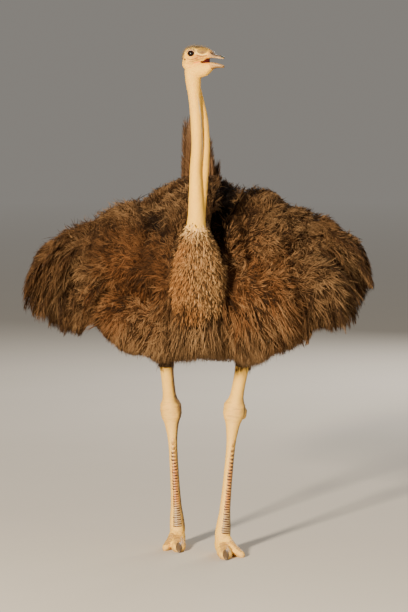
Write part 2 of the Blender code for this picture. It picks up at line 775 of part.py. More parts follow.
def body_plan(spot, out, draw):
    """Long plumes that run back over the body, hang at its sides and fringe the belly."""
    side = math.copysign(1.0, spot.x)
    beside_wing = spot.y < WING_BACK_Y - 0.03 and abs(spot.x) > 0.16
    if abs(spot.x) > ARM_COVER_X and spot.y < ARM_COVER_Y and spot.z > ARM_COVER_Z:
        return None
    sway = Vector((draw.uniform(-0.10, 0.10), draw.uniform(-0.05, 0.05), 0.0))
    if out.z < -0.30 or (beside_wing and out.z < 0.20):
        return hanging_plume(spot, out, sway)
    walls = body_walls(spot, False)
    if spot.y < -0.14 and out.z < 0.55:
        flow = DOWN - FRONT * 0.7 + Vector((side * 0.30, 0.0, 0.0)) + sway
        return laid(flow, out, CHEST_LIFT), out, CHEST_PLUME, PLUME_DROOP, walls
    spread = Vector((side * 0.7 * abs(out.x), 0.0, 0.0))
    flow = -FRONT + DOWN * (1.3 * abs(out.x) ** 2) + spread + sway
    return laid(flow, out, BACK_LIFT), out, BACK_PLUME, PLUME_DROOP, walls


def shoulder_plan(spot, out, draw):
    """Broad plumes that lift off the root of a wing, outward and back, and curve down."""
    side = math.copysign(1.0, spot.x)
    sway = Vector((draw.uniform(-0.15, 0.15), draw.uniform(-0.10, 0.10), 0.0))
    flow = Vector((side * 0.55, 0.75 if spot.y > -0.05 else 0.1, 0.0)) + sway
    walls = body_walls(spot, False)
    if spot.z > 1.20:
        return laid(flow, out, SHOULDER_LIFT), out, SHOULDER_PLUME, 0.20, walls
    grow = laid(DOWN + flow * 0.4, out, SHOULDER_FRONT_LIFT)
    return grow, out, SHOULDER_FRONT_PLUME, 0.12, walls


def build_body(home, finishes, legs):
    """The body core with its plumes and the root of each wing, cut clear of the legs."""
    draw = random.Random(SEEDS["torso"])
    brown = finishes["brown"]
    chest_wall = Wall(Vector((0, BREAST_WALL_Y, 0)), FRONT)
    body = loft("torso", limb_rings(smooth_stations(BODY_STATIONS, 11), BODY_SIDES), brown, home)
    bisect(body, chest_wall.outward * chest_wall.limit, chest_wall.outward)
    pieces = feather_core(Core(BODY_STATIONS), BODY_ROWS, draw, body_plan, brown, home)
    for side in (-1.0, 1.0):
        wall = wing_wall(side, True)
        arm = wing_core("shoulder", brown, home, side)
        pieces.append(bisect(arm, wall.outward * wall.limit, wall.outward))
        core = Core([(side * x, *rest) for x, *rest in WING_STATIONS], UP)
        pieces += feather_core(core, SHOULDER_ROWS, draw, shoulder_plan, brown, home)
    combine(body, pieces, "UNION", "MANIFOLD")
    corner = (-0.3, TAIL_WALL_Y - GAP / 2, TAIL_WALL_Z - GAP / 2)
    rump = box_between("rump", corner, (0.3, 0.9, 1.6))
    combine(body, [*legs, rump], "DIFFERENCE")


def box_between(name, low, high):
    """A plain box between two corners, for a cut."""
    low, high = Vector(low), Vector(high)
    shape = bmesh.new()
    bmesh.ops.create_cube(shape, size=1.0)
    place = Matrix.Translation((low + high) / 2) @ Matrix.Diagonal((*(high - low), 1.0))
    bmesh.ops.transform(shape, matrix=place, verts=shape.verts)
    mesh = bpy.data.meshes.new(name)
    shape.to_mesh(mesh)
    shape.free()
    return bpy.data.objects.new(name, mesh)


def wing_core(name, finish, home, side):
    """The solid arm of one wing, from inside the body to its tip."""
    rings = limb_rings(wing_rows(side, 8), WING_SIDES, UP)
    return loft(name, rings, finish, home)


def wing_rows(side, count):
    """The wing's stations for the left (1) or the right (-1) side."""
    return [(side * x, *rest) for x, *rest in smooth_stations(WING_STATIONS, count)]


def wing_walls(side):
    """The planes that a wing's plumes stay behind: at its root and behind."""
    return [wing_wall(side, False), Wall(Vector((0, WING_BACK_Y, 0)), -FRONT)]


def wing_plume(far, sizes):
    """Length, width and thickness of a wing plume by how far out its root is."""
    at_root, at_tip, width, thickness = sizes
    return at_root + (at_tip - at_root) * far, width, thickness


def wing_plan(spot, out, draw):
    """Plumes that leave the arm outward and fall: short on top, long below and near the body."""
    side = math.copysign(1.0, spot.x)
    way = Vector((side, 0.0, 0.0))
    walls = wing_walls(side)
    sway = Vector((draw.uniform(-0.12, 0.12), draw.uniform(-0.10, 0.10), 0.0))
    far = min(max((abs(spot.x) - ARM_START_X) / ARM_REACH, 0.0), 1.0)
    if out.z > 0.60:
        near_lift, far_lift = WING_TOP_LIFTS
        grow = laid(way + sway, out, near_lift + (far_lift - near_lift) * far)
        return grow, out, wing_plume(far, WING_TOP_PLUME), 0.24, walls
    if out.z < -0.60:
        grow = (DOWN + way * (0.35 * far - 0.06) + sway).normalized()
        facing = FRONT if out.y < 0.1 else -FRONT
        return grow, facing, wing_plume(far, WING_UNDER_PLUME), 0.04, walls
    flow = way * (0.05 + 0.80 * far * far) + DOWN + sway
    grow = laid(flow, out, WING_SIDE_LIFT)
    return grow, out, wing_plume(far, WING_SIDE_PLUME), PLUME_DROOP, walls


def build_wing(home, finishes, side, name):
    """One lowered wing: the arm and its plumes."""
    draw = random.Random(SEEDS[name])
    brown = finishes["brown"]
    wing = wing_core(name, brown, home, side)
    root = wing_wall(side, False)
    bisect(wing, root.outward * root.limit, root.outward)
    core = Core([(side * x, *rest) for x, *rest in WING_STATIONS], UP)
    made = feather_core(core, WING_ROWS, draw, wing_plan, brown, home)
    combine(wing, made, "UNION", "MANIFOLD")


def build_tail(home, finishes):
    """The raised tail: tiers of broad vanes on the rump, from upright to leaning back."""
    draw = random.Random(SEEDS["tail"])
    brown = finishes["brown"]
    tail = ball("tail", TAIL_ROOT, RUMP_RADII, brown, home, 12)
    walls = [
        Wall(Vector((0, TAIL_WALL_Y, 0)), FRONT),
        Wall(Vector((0, 0, TAIL_WALL_Z)), DOWN),
    ]
    for wall in walls:
        bisect(tail, wall.outward * wall.limit, wall.outward)
    made = []
    for lean, length, count, spread in TAIL_TIERS:
        back = math.radians(lean)
        for k in range(count):
            place = 2 * k / (count - 1) - 1
            grow = Vector((-place * 0.03, math.sin(back), math.cos(back))).normalized()
            facing = Vector((0.0, -math.cos(back), math.sin(back)))
            facing = Matrix.Rotation(-place * VANE_TURN, 3, grow) @ facing
            root = TAIL_ROOT + Vector((place * spread, 0.02 * math.sin(back), -0.01))
            reach = length * (0.98 - 0.06 * place) * draw.uniform(0.97, 1.03)
            size = (reach, VANE_WIDTH, VANE_THICKNESS)
            bend = Vector((place * 0.02, 0.05, -0.10)) * (0.3 + math.sin(back))
            inset = draw.uniform(0.0, MOST_INSET)
            vane = feather(root, grow, facing, size, bend, walls, inset, VANE_SHAPE, brown, home)
            made.append(vane)
    combine(tail, made, "UNION", "MANIFOLD")


def leg_stations(top, bottom, sizes, count):
    """Rows down one length of a leg, from shares of the way and sizes."""
    rows = []
    for share, half_width, half_depth in smooth_stations(sizes, count):
        rows.append((*(top + (bottom - top) * share), half_width, half_depth))
    return rows


def raise_scutes(rings):
    """Lifts the front of the shaft's rings in steps, one for each broad scute."""
    first = int(len(rings) * SCUTE_START)
    for k, ring in enumerate(rings[first:-1], first):
        middle = sum(ring, Vector()) / len(ring)
        for place, point in enumerate(ring):
            out = (point - middle).normalized()
            if out.dot(FRONT) > 0.35 and (k - first) % 2 == 0:
                ring[place] = point + out * SCUTE_RISE
    return rings


def toe_rings(foot, turn, sizes, wider=0.0):
    """Rings square to a toe that runs ahead of the foot along the floor."""
    ahead = Matrix.Rotation(turn, 3, "Z") @ FRONT
    across = ahead.cross(UP)
    rings = []
    for way, half_width, high, dip in sizes:
        middle = Vector((foot.x, foot.y, (high - dip) / 2)) + ahead * way
        rings.append(oval(middle, across, UP, half_width + wider, (high + dip) / 2 + wider, 10))
    return rings


def build_legs(home, finishes):
    """Both legs; gives back a slightly larger copy of each shank to cut the plumes clear."""
    cutters = []
    for name, leg in LEGS.items():
        hock = leg["hock"]
        shank_rows = leg_stations(leg["knee"], hock, SHANK_SIZES, 14)
        shank = loft("shank_" + name, limb_rings(shank_rows, LEG_SIDES), finishes["leg"], home)
        bisect(shank, hock + UP * GAP / 2, DOWN)
        larger = [(x, y, z, wide + GAP, deep + GAP) for x, y, z, wide, deep in shank_rows]
        above = leg["knee"] + (leg["knee"] - hock).normalized() * 0.04
        larger.insert(0, (*above, *larger[0][3:]))
        cutters.append(loft("leg_room", limb_rings(larger, LEG_SIDES), finishes["leg"], home))
        build_shaft(home, finishes, name, leg)
        build_foot(home, finishes, name, leg)
    return cutters


def build_shaft(home, finishes, name, leg):
    """The long shaft below one hock, with its column of broad scutes down the front."""
    rows = leg_stations(leg["hock"], leg["ankle"], SHAFT_SIZES, SHAFT_RINGS)
    rings = raise_scutes(limb_rings(rows, LEG_SIDES))
    shaft = loft("tarsus_" + name, rings, finishes["leg"], home)
    bisect(shaft, leg["hock"] - UP * GAP / 2, UP)
    bisect(shaft, Vector((0, 0, ANKLE_SPLIT + GAP / 2)), DOWN)


def build_foot(home, finishes, name, leg):
    """The big toe with the root of the shaft and its claw, and the small outer toe."""
    foot, turn = leg["ankle"], leg["side"] * leg["toe_turn"]
    toe = loft("toe_main_" + name, toe_rings(foot, turn, TOE_SIZES), finishes["leg"], home)
    top = leg_stations(leg["hock"], foot, SHAFT_SIZES, 20)[-5:]
    stub = [*top, (foot.x, foot.y, 0.04, 0.026, 0.030)]
    ankle = loft("ankle", limb_rings(stub, LEG_SIDES), finishes["leg"], home)
    combine(toe, [bisect(ankle, Vector((0, 0, ANKLE_SPLIT - GAP / 2)), UP)], "UNION")
    bisect(toe, Vector(), DOWN)
    outer_turn = leg["side"] * leg["outer_turn"]
    rings = toe_rings(foot, outer_turn, OUTER_TOE_SIZES)
    outer = loft("toe_outer_" + name, rings, finishes["leg"], home)
    room = loft("toe_room", toe_rings(foot, turn, TOE_SIZES, GAP), finishes["leg"], home)
    wide_stub = [(x, y, z, wide + GAP, deep + GAP) for x, y, z, wide, deep in stub]
    ankle_room = loft("ankle_room", limb_rings(wide_stub, LEG_SIDES), finishes["leg"], home)
    combine(outer, [room, ankle_room], "DIFFERENCE")
    bisect(outer, Vector(), DOWN)
    build_claw(home, finishes, name, foot, turn)


def build_claw(home, finishes, name, foot, turn):
    """The thick, blunt claw at the end of one big toe."""
    ahead = Matrix.Rotation(turn, 3, "Z") @ FRONT
    across = ahead.cross(UP)
    rings = []
    for share, size in ((0.0, 1.0), (0.35, 0.95), (0.7, 0.72), (1.0, 0.30)):
        middle = Vector((foot.x, foot.y, 0.0145 - 0.004 * share)) + ahead * (CLAW_START + CLAW_LENGTH * share)
        rings.append(oval(middle, across, UP, 0.0125 * size, 0.0105 * size, 10))
    claw = loft("claw_" + name, rings, finishes["claw"], home)
    room = loft("toe_room", toe_rings(foot, turn, TOE_SIZES, GAP), finishes["leg"], home)
    combine(claw, [room], "DIFFERENCE")


build()
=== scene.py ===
import math

import bmesh
import bpy
import numpy as np
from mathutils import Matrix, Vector
from mathutils.bvhtree import BVHTree


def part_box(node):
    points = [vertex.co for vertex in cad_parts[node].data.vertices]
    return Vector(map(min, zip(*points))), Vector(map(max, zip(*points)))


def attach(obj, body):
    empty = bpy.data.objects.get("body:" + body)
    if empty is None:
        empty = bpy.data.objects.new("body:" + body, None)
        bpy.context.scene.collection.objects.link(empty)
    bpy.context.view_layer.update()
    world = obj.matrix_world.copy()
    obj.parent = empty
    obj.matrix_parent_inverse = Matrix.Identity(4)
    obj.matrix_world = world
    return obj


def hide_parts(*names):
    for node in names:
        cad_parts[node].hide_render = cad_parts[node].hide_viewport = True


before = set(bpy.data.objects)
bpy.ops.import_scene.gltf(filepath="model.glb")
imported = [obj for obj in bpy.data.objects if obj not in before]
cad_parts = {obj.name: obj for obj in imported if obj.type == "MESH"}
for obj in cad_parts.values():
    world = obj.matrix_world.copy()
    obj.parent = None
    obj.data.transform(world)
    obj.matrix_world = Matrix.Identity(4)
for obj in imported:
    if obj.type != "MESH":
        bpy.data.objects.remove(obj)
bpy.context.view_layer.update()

# Body under the feathers: trunk, both half-open wing arms and the swell of the breast as one skin.
# It is a dark, downy hide that only shows as depth between the plumes, so it is one soft surface
# without seams, close to the solids' own cores.

HEAD_CENTRE = np.array((-0.011, -0.468, 1.852))
HEAD_YAW = math.radians(65.0)
FACING = np.array((math.sin(HEAD_YAW), -math.cos(HEAD_YAW), 0.0))
RIGHT = np.array((-math.cos(HEAD_YAW), -math.sin(HEAD_YAW), 0.0))
UP = np.array((0.0, 0.0, 1.0))
EYE_OUT = 0.0262
low, high = (np.array(corner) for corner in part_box("eye_right"))
# The bird is written in its own frame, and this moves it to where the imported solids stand
TO_FRAME = (low + high) / 2 - (HEAD_CENTRE + RIGHT * EYE_OUT)

# Y, Z, half width and half height of the trunk, from the chest to the rump
TRUNK = (
    (-0.345, 1.045, 0.060, 0.110),
    (-0.300, 1.055, 0.125, 0.172),
    (-0.200, 1.085, 0.190, 0.218),
    (0.000, 1.112, 0.236, 0.270),
    (0.180, 1.108, 0.224, 0.250),
    (0.320, 1.096, 0.176, 0.176),
    (0.430, 1.102, 0.108, 0.108),
    (0.490, 1.105, 0.045, 0.045),
)
# X, Y, Z, half height and half depth of each wing's arm; the left is held a little higher
ARMS = {
    1.0: (
        (0.06, -0.15, 1.100, 0.170, 0.130),
        (0.15, -0.10, 1.128, 0.185, 0.150),
        (0.25, -0.04, 1.122, 0.186, 0.140),
        (0.36, 0.00, 1.097, 0.165, 0.108),
        (0.45, 0.02, 1.075, 0.152, 0.079),
        (0.52, 0.01, 1.052, 0.122, 0.056),
        (0.556, 0.00, 1.028, 0.066, 0.034),
    ),
    -1.0: (
        (0.06, -0.15, 1.100, 0.170, 0.130),
        (0.15, -0.10, 1.124, 0.180, 0.150),
        (0.25, -0.04, 1.110, 0.172, 0.140),
        (0.36, 0.00, 1.078, 0.148, 0.108),
        (0.45, 0.02, 1.055, 0.128, 0.077),
        (0.52, 0.01, 1.036, 0.104, 0.053),
        (0.553, 0.00, 1.014, 0.056, 0.032),
    ),
}
# X, Y, Z, half width and half depth of the breast, from the foot of the neck down
BREAST = (
    (-0.006, -0.464, 1.240, 0.030, 0.033),
    (-0.006, -0.460, 1.215, 0.036, 0.040),
    (-0.005, -0.448, 1.190, 0.050, 0.056),
    (-0.002, -0.412, 1.135, 0.072, 0.087),
    (0.003, -0.375, 1.060, 0.088, 0.113),
    (0.006, -0.345, 0.985, 0.093, 0.120),
    (0.006, -0.310, 0.920, 0.084, 0.098),
    (0.006, -0.270, 0.880, 0.060, 0.070),
)
# X, Y, Z, half width and half depth of the thighs, down to where the bare shanks come out
THIGHS = (
    (
        (-0.10, 0.06, 1.000, 0.090, 0.120),
        (-0.125, 0.03, 0.900, 0.066, 0.086),
        (-0.133, 0.015, 0.835, 0.050, 0.064),
    ),
    (
        (0.13, -0.02, 1.000, 0.090, 0.120),
        (0.180, -0.085, 0.900, 0.066, 0.086),
        (0.190, -0.102, 0.835, 0.050, 0.064),
    ),
)
# X, Y, Z, half height and half depth of the belly's full plumage, from side to side
BELLY = (
    (-0.42, -0.02, 0.930, 0.055, 0.060),
    (-0.36, -0.05, 0.920, 0.062, 0.085),
    (-0.22, -0.10, 0.875, 0.100, 0.125),
    (0.00, -0.12, 0.862, 0.108, 0.150),
    (0.22, -0.11, 0.868, 0.106, 0.130),
    (0.34, -0.06, 0.895, 0.085, 0.090),
    (0.40, -0.02, 0.925, 0.060, 0.060),
)
# Centre and radii of the left wing's shoulder and of what fills out the breast's left side
SWELLS = (
    ((0.222, 0.020, 1.268), (0.085, 0.110, 0.070)),
    ((0.180, -0.262, 0.955), (0.170, 0.104, 0.130)),
    ((0.345, -0.180, 1.005), (0.160, 0.088, 0.095)),
)
BODY_VOXEL = 0.0115


def smooth_rows(rows, count):
    """Rows of numbers along a smooth curve through the given rows."""
    rows = np.array(rows, float)
    rows = np.vstack([rows[:1], rows, rows[-1:]])
    place = np.linspace(0, len(rows) - 3, count)
    span = np.minimum(place.astype(int), len(rows) - 4)
    t = (place - span)[:, None]
    p, q, r, s = (rows[span + k] for k in range(4))
    cubic = 3 * q - p - 3 * r + s
    return 0.5 * (2 * q + (r - p) * t + (2 * p - 5 * q + 4 * r - s) * t**2 + cubic * t**3)


def columns(*values):
    """Arrays and plain numbers side by side."""
    return np.stack(np.broadcast_arrays(*values), -1)


def unit(vectors):
    """The same vectors with length one."""
    return vectors / np.maximum(np.linalg.norm(vectors, axis=-1, keepdims=True), 1e-9)


def full_turn(count):
    """Even steps once round."""
    return np.linspace(0, 2 * np.pi, count, endpoint=False)


def limb_grid(rows, count, sides, across=(1.0, 0.0, 0.0)):
    """Rings of points round a path: rows of X, Y, Z, half width along "across", half depth."""
    rows = smooth_rows(rows, count)
    middle = rows[:, :3]
    along = unit(np.gradient(middle, axis=0))
    depth = unit(np.cross(along, np.array(across)))
    width = np.cross(depth, along)
    turn = full_turn(sides)[None, :, None]
    oval = width[:, None] * rows[:, None, 3:4] * np.cos(turn)
    return middle[:, None] + oval + depth[:, None] * rows[:, None, 4:5] * np.sin(turn)


def ring_quads(count, sides):
    """Quads between rings of points: between each ring and the next."""
    corner = np.arange(count * sides).reshape(count, sides)
    beside = np.roll(corner, -1, 1)
    return np.stack([corner[:-1], beside[:-1], beside[1:], corner[1:]], 2).reshape(-1, 4).tolist()


def placed(name, data):
    """An object of this mesh, lamp or camera, in the scene."""
    made = bpy.data.objects.new(name, data)
    bpy.context.scene.collection.objects.link(made)
    return made


def plain_mesh(name, points, faces):
    """A smooth mesh object of points in the bird's own frame."""
    mesh = bpy.data.meshes.new(name)
    mesh.from_pydata((np.asarray(points) + TO_FRAME).tolist(), [], faces)
    made = placed(name, mesh)
    shape = bmesh.new()
    shape.from_mesh(mesh)
    bmesh.ops.recalc_face_normals(shape, faces=shape.faces)
    shape.to_mesh(mesh)
    shape.free()
    mesh.shade_smooth()
    return made


def loft(name, grid):
    """A loft over a grid of rings, closed at both ends."""
    count, sides = grid.shape[:2]
    caps = [list(range(sides))[::-1], list(range((count - 1) * sides, count * sides))]
    return plain_mesh(name, grid.reshape(-1, 3), ring_quads(count, sides) + caps)


def settled(thing):
    """The object with its modifiers applied."""
    graph = bpy.context.evaluated_depsgraph_get()
    mesh = bpy.data.meshes.new_from_object(thing.evaluated_get(graph))
    thing.modifiers.clear()
    thing.data = mesh
    return thing


def one_skin(name, pieces, voxel, relax):
    """Overlapping lofts made one even surface, then relaxed."""
    with bpy.context.temp_override(active_object=pieces[0], selected_editable_objects=pieces):
        bpy.ops.object.join()
    made = pieces[0]
    made.name = name
    remesh = made.modifiers.new("remesh", "REMESH")
    remesh.mode = "VOXEL"
    remesh.voxel_size = voxel
    settled(made)
    even = made.modifiers.new("relax", "SMOOTH")
    even.iterations = relax
    settled(made)
    made.data.shade_smooth()
    return made


def read_rows(layer, name):
    """Three numbers for each point of a mesh."""
    flat = np.empty(len(layer) * 3, np.float32)
    layer.foreach_get(name, flat)
    return flat.reshape(-1, 3).astype(float)


def mesh_points(thing):
    """The object's points in the bird's own frame."""
    return read_rows(thing.data.vertices, "co") - TO_FRAME


def mesh_normals(thing):
    """The way out at each point."""
    return read_rows(thing.data.vertex_normals, "vector")


def put_points(thing, points):
    """Moves the object's points to these places of the bird's own frame."""
    thing.data.vertices.foreach_set("co", (points + TO_FRAME).astype(np.float32).ravel())
    thing.data.update()


def share_between(value, start, end):
    """0 up to start, 1 from end on, and a soft rise between them."""
    t = np.clip((value - start) / (end - start), 0.0, 1.0)
    return t * t * (3 - 2 * t)


def within(value, start, full, fade, end):
    """0 up to start, 1 from full to fade, and 0 again from end on."""
    return share_between(value, start, full) * (1 - share_between(value, fade, end))


def soft_spot(across, up=0.0):
    """1 in the middle of a spot or line, fading with the distance in shares of its size."""
    return np.exp(-(across**2) - up**2)


HASH_STEPS = (73856093, 19349663, 83492791)
HASH_SEED = 2654435761
HASH_MIX = 1274126177


def value_noise(points, size, seed):
    """Smooth noise from 0 to 1 with lumps about this many metres across."""
    cells = points / size
    corner = np.floor(cells).astype(np.int64)
    blend = cells - corner
    blend = blend * blend * (3 - 2 * blend)
    total = np.zeros(len(points))
    for step in np.ndindex(2, 2, 2):
        key = np.bitwise_xor.reduce((corner + step) * HASH_STEPS, axis=1) ^ seed * HASH_SEED
        key = (key ^ (key >> 13)) * HASH_MIX & 0x7FFFFFFF
        weight = np.where(step, blend, 1 - blend).prod(axis=1)
        total += weight * (((key ^ (key >> 16)) & 0xFFFF) / 65535.0)
    return total


def ball(name, centre, radii, segments, rings):
    """A ball or an egg shape in the bird's own frame."""
    lean = np.linspace(0.0, np.pi, rings + 1)[1:-1, None]
    turn = full_turn(segments)[None, :]
    spot = columns(np.sin(lean) * np.cos(turn), np.sin(lean) * np.sin(turn), np.cos(lean))
    return loft(name, np.array(centre) + spot * np.array(radii))


trunk_rows = [(0.0, y, z, wide, tall) for y, z, wide, tall in TRUNK]
body_parts = [loft("trunk", limb_grid(trunk_rows, 40, 48))]
for side in (-1.0, 1.0):
    arm_rows = [(side * x, y, z, tall, deep) for x, y, z, tall, deep in ARMS[side]]
    body_parts.append(loft("arm", limb_grid(arm_rows, 30, 36, (0.0, 0.0, 1.0))))
body_parts.append(loft("swell", limb_grid(BREAST, 30, 32)))
body_parts += [ball("swell", centre, radii, 32, 24) for centre, radii in SWELLS]
body_parts.append(loft("belly", limb_grid(BELLY, 40, 32, (0.0, 0.0, 1.0))))
body_parts += [loft("thigh", limb_grid(rows, 20, 28)) for rows in THIGHS]
body_skin = one_skin("body_skin", body_parts, BODY_VOXEL, 6)

# Height, X and half width of the deep cleft between the back and the left wing, painted near black as shade
CLEFT = (
    (1.13, 0.086, 0.010),
    (1.229, 0.073, 0.028),
    (1.32, 0.108, 0.050),
    (1.385, 0.148, 0.056),
)
# X, Z, half width and half height of the small gaps between the wing's plumes and the breast, painted dark
# as shade
GAPS = (
    (-0.110, 1.190, 0.018, 0.050),
    (-0.150, 1.224, 0.021, 0.030),
    (-0.192, 1.262, 0.015, 0.014),
)
# Depth of the cleft low down and at its top, and of the gaps, in the hide
CLEFT_DEPTHS = (0.085, 0.020)
GAP_DEPTH = 0.018
LUMP_HEIGHT = 0.030


def cleft_share(points):
    """1 in the cleft, and 0 off it."""
    x, y, z = points.T
    heights, middles, widths = np.array(CLEFT).T
    wide = np.interp(z, heights, widths)
    near = 1 - share_between(np.abs(x - np.interp(z, heights, middles)), wide * 0.75, wide * 1.2)
    return near * share_between(z, 1.10, 1.14) * (1 - share_between(y, 0.02, 0.12))


def gap_share(points):
    """1 in the middle of each gap, fading to 0 round it."""
    x, y, z = points.T
    return sum(soft_spot((x - aside) / wide, (z - rise) / tall) for aside, rise, wide, tall in GAPS)


points = mesh_points(body_skin)
# The plumage stands in soft lumps, except on the breast
lumps = value_noise(points, 0.085, 51) + 0.6 * value_noise(points, 0.042, 52) - 0.8
lumps = lumps * LUMP_HEIGHT * share_between(points[:, 1], -0.36, -0.28)
cleft_depth = np.interp(share_between(points[:, 2], 1.25, 1.35), (0, 1), CLEFT_DEPTHS)
hollow = -lumps + cleft_share(points) * cleft_depth + GAP_DEPTH * gap_share(points)
put_points(body_skin, points - mesh_normals(body_skin) * hollow[:, None])


class Wire:
    """A shader socket that can be used in sums: each sum adds its Math node."""

    def __init__(self, finish, socket):
        self.finish = finish
        self.socket = socket

    def __add__(self, other):
        return self.finish.math("ADD", self, other)

    def __sub__(self, other):
        return self.finish.math("SUBTRACT", self, other)

    def __rsub__(self, other):
        return self.finish.math("SUBTRACT", other, self)

    def __mul__(self, other):
        return self.finish.math("MULTIPLY", self, other)

    __radd__ = __add__
    __rmul__ = __mul__


class Finish:
    """A material under construction, with its even values set on the shader itself."""

    def __init__(self, name, **even_values):
        self.material = bpy.data.materials.new(name)
        self.material.use_nodes = True
        self.tree = self.material.node_tree
        self.shader = self.tree.nodes["Principled BSDF"]
        for socket, value in even_values.items():
            self.shader.inputs[socket.replace("_", " ")].default_value = value

    def node(self, kind, settings=(), sockets=(), output=0):
        """Adds a node of this kind: its settings, then its sockets by name or number."""
        made = self.tree.nodes.new(kind)
        for name, value in dict(settings).items():
            setattr(made, name, value)
        for name, value in dict(sockets).items():
            if isinstance(value, Wire):
                self.tree.links.new(value.socket, made.inputs[name])
            else:
                made.inputs[name].default_value = value
        return Wire(self, made.outputs[output])

    def math(self, operation, *values):
        """A Math node of two values."""
        return self.node("ShaderNodeMath", {"operation": operation}, dict(enumerate(values)))

    def held(self, value):
        """The value kept between 0 and 1."""
        return self.node("ShaderNodeClamp", (), {"Value": value})

    def blend(self, share, one, other):
        """A colour between two, by a share."""
        sockets = {0: share, 6: self.colour(one), 7: self.colour(other)}
        return self.node("ShaderNodeMix", {"data_type": "RGBA"}, sockets, 2)

    def layers(self, base, **over):
        """A colour with others laid over it in turn, each as strong as its mask and this share."""
        for name, (strength, colour) in over.items():
            base = self.blend(self.mask(name) * strength, base, colour)
        return base

    @staticmethod
    def colour(value):
        """A colour with its alpha, unless it is a wire already."""
        return value if isinstance(value, Wire) else (*value, 1.0)

    def mask(self, name):
        """A value that the mesh carries at its points."""
        return self.node("ShaderNodeAttribute", {"attribute_name": name}, (), 2)

    def place(self):
        """Where on the object the surface is."""
        return self.node("ShaderNodeTexCoord", (), (), 3)

    def stretched(self, scale):
        """The place on the object, scaled along each axis."""
        return self.node("ShaderNodeMapping", (), {"Vector": self.place(), "Scale": scale})

    def noise(self, scale, detail=3.0, where=None):
        """Fractal noise from 0 to 1."""
        sockets = {"Scale": scale, "Detail": detail, "Roughness": 0.55}
        return self.node("ShaderNodeTexNoise", (), {"Vector": where or self.place(), **sockets})

    def bump(self, height, distance, strength=1.0):
        """Feeds a height into the shader's normal."""
        sockets = {"Height": height, "Distance": distance, "Strength": strength}
        self.feed(Normal=self.node("ShaderNodeBump", (), sockets))

    def feed(self, **wires):
        """Links wires into the shader's sockets."""
        for socket, wire in wires.items():
            self.tree.links.new(wire.socket, self.shader.inputs[socket.replace("_", " ")])


# Linear colours of the plumage
UNDER_DOWN = (0.026, 0.0125, 0.0056)
# Near black: painted shade in the cleft and the gaps
NIGHT_PLUME = (0.0014, 0.0012, 0.0012)
DARK_PLUME = (0.030, 0.0145, 0.0062)
MID_PLUME = (0.150, 0.068, 0.024)
RUST_PLUME = (0.270, 0.092, 0.022)
# Pale dusty tan, also used as painted light
DUST_PLUME = (0.360, 0.215, 0.100)


def markings(points):
    """The coat's markings, with its painted shade and painted light, at points of the bird's own frame, from
    0 to 1 each.
    """
    aside, back, rise = points.T
    reach = np.abs(aside)
    front = share_between(-back, -0.10, 0.10)
    rust = front * within(reach, 0.06, 0.13, 0.24, 0.42) * within(rise, 0.80, 0.95, 1.10, 1.24)
    # Painted shade: darker on the wings' outer rims, more on the bird's left side away from the key lamp,
    # low down, on the lower lobes and in two spots on the front
    rim = share_between(reach, 0.50, 0.62) * np.where(aside < 0, 0.45, 0.75)
    rim = rim + 0.7 * (1 - share_between(rise, 0.70, 0.80))
    lobe = soft_spot((reach - 0.505) / 0.055, (rise - 0.885) / 0.060)
    rim = rim + lobe * np.where(aside < 0, 0.40, 1.1)
    rim = rim + 0.75 * front * soft_spot((aside + 0.155) / 0.045, (rise - 1.07) / 0.11)
    rim = rim + 0.40 * front * soft_spot((aside + 0.33) / 0.14, (rise - 1.14) / 0.06)
    dusk = np.clip(rim * (0.5 + value_noise(points, 0.09, 3)), 0, 1)
    lumps = 0.5 * value_noise(points, 0.11, 1) + 0.5 * value_noise(points, 0.035, 2)
    # Painted shade: near black in the cleft and in the gaps beside the breast
    night = np.clip(cleft_share(points) * 1.4 + gap_share(points) * front, 0, 1)
    rust = np.clip(rust * (0.35 + lumps), 0, 1)
    # Painted light: paler low in the middle, on top of the right wing's hump, and over the front of the left
    # wing where its shade would fall
    low = 0.9 * share_between(-rise, -0.98, -0.88) * (1 - share_between(reach, 0.15, 0.35))
    hump = 0.45 * share_between(rise, 1.20, 1.27) * (aside < -0.08)
    far = 0.45 * front * share_between(aside, 0.22, 0.36)
    dust = np.clip((share_between(lumps, 0.30, 0.75) + hump + far) * (1 - dusk) + low, 0, 1)
    return {"rust": rust, "dusk": dusk, "dust": dust, "night": night}


# Heights, and the half width of the breast's swell at each
BREAST_WIDTHS = ((0.86, 0.95, 1.10, 1.20), (0.070, 0.100, 0.094, 0.056))


def breast_share(points):
    """1 on the swell of the breast, fading to 0 round it."""
    x, y, z = points.T
    width = np.interp(z, *BREAST_WIDTHS)
    inside = 1 - share_between(np.abs(x + 0.004), width * 0.80, width * 1.15)
    ragged = z + 0.07 * (value_noise(points, 0.025, 13) - 0.5)
    return inside * share_between(ragged, 0.885, 0.985) * (1 - share_between(y, -0.35, -0.325))


def put_masks(thing, **masks):
    """Stores values for the points of a mesh, or one for them all, for its material to read."""
    for name, values in masks.items():
        layer = thing.data.attributes.new(name, "FLOAT", "POINT")
        each = np.zeros(len(thing.data.vertices)) + values
        layer.data.foreach_set("value", each.astype(np.float32))


def shown(thing, finish, slot, *replaced):
    """Gives a piece its material, and lets it ride on the bird for these nodes; the slot is not used."""
    thing.data.materials.clear()
    thing.data.materials.append(finish.material)
    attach(thing, "root")
    if replaced:
        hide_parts(*replaced)


hide = Finish("downy_hide", Roughness=0.95, Specular_IOR_Level=0.1)
hide_base = hide.layers(UNDER_DOWN, rust=(0.15, RUST_PLUME))
hide_base = hide.blend(hide.noise(60.0) * 0.5, hide_base, DARK_PLUME)
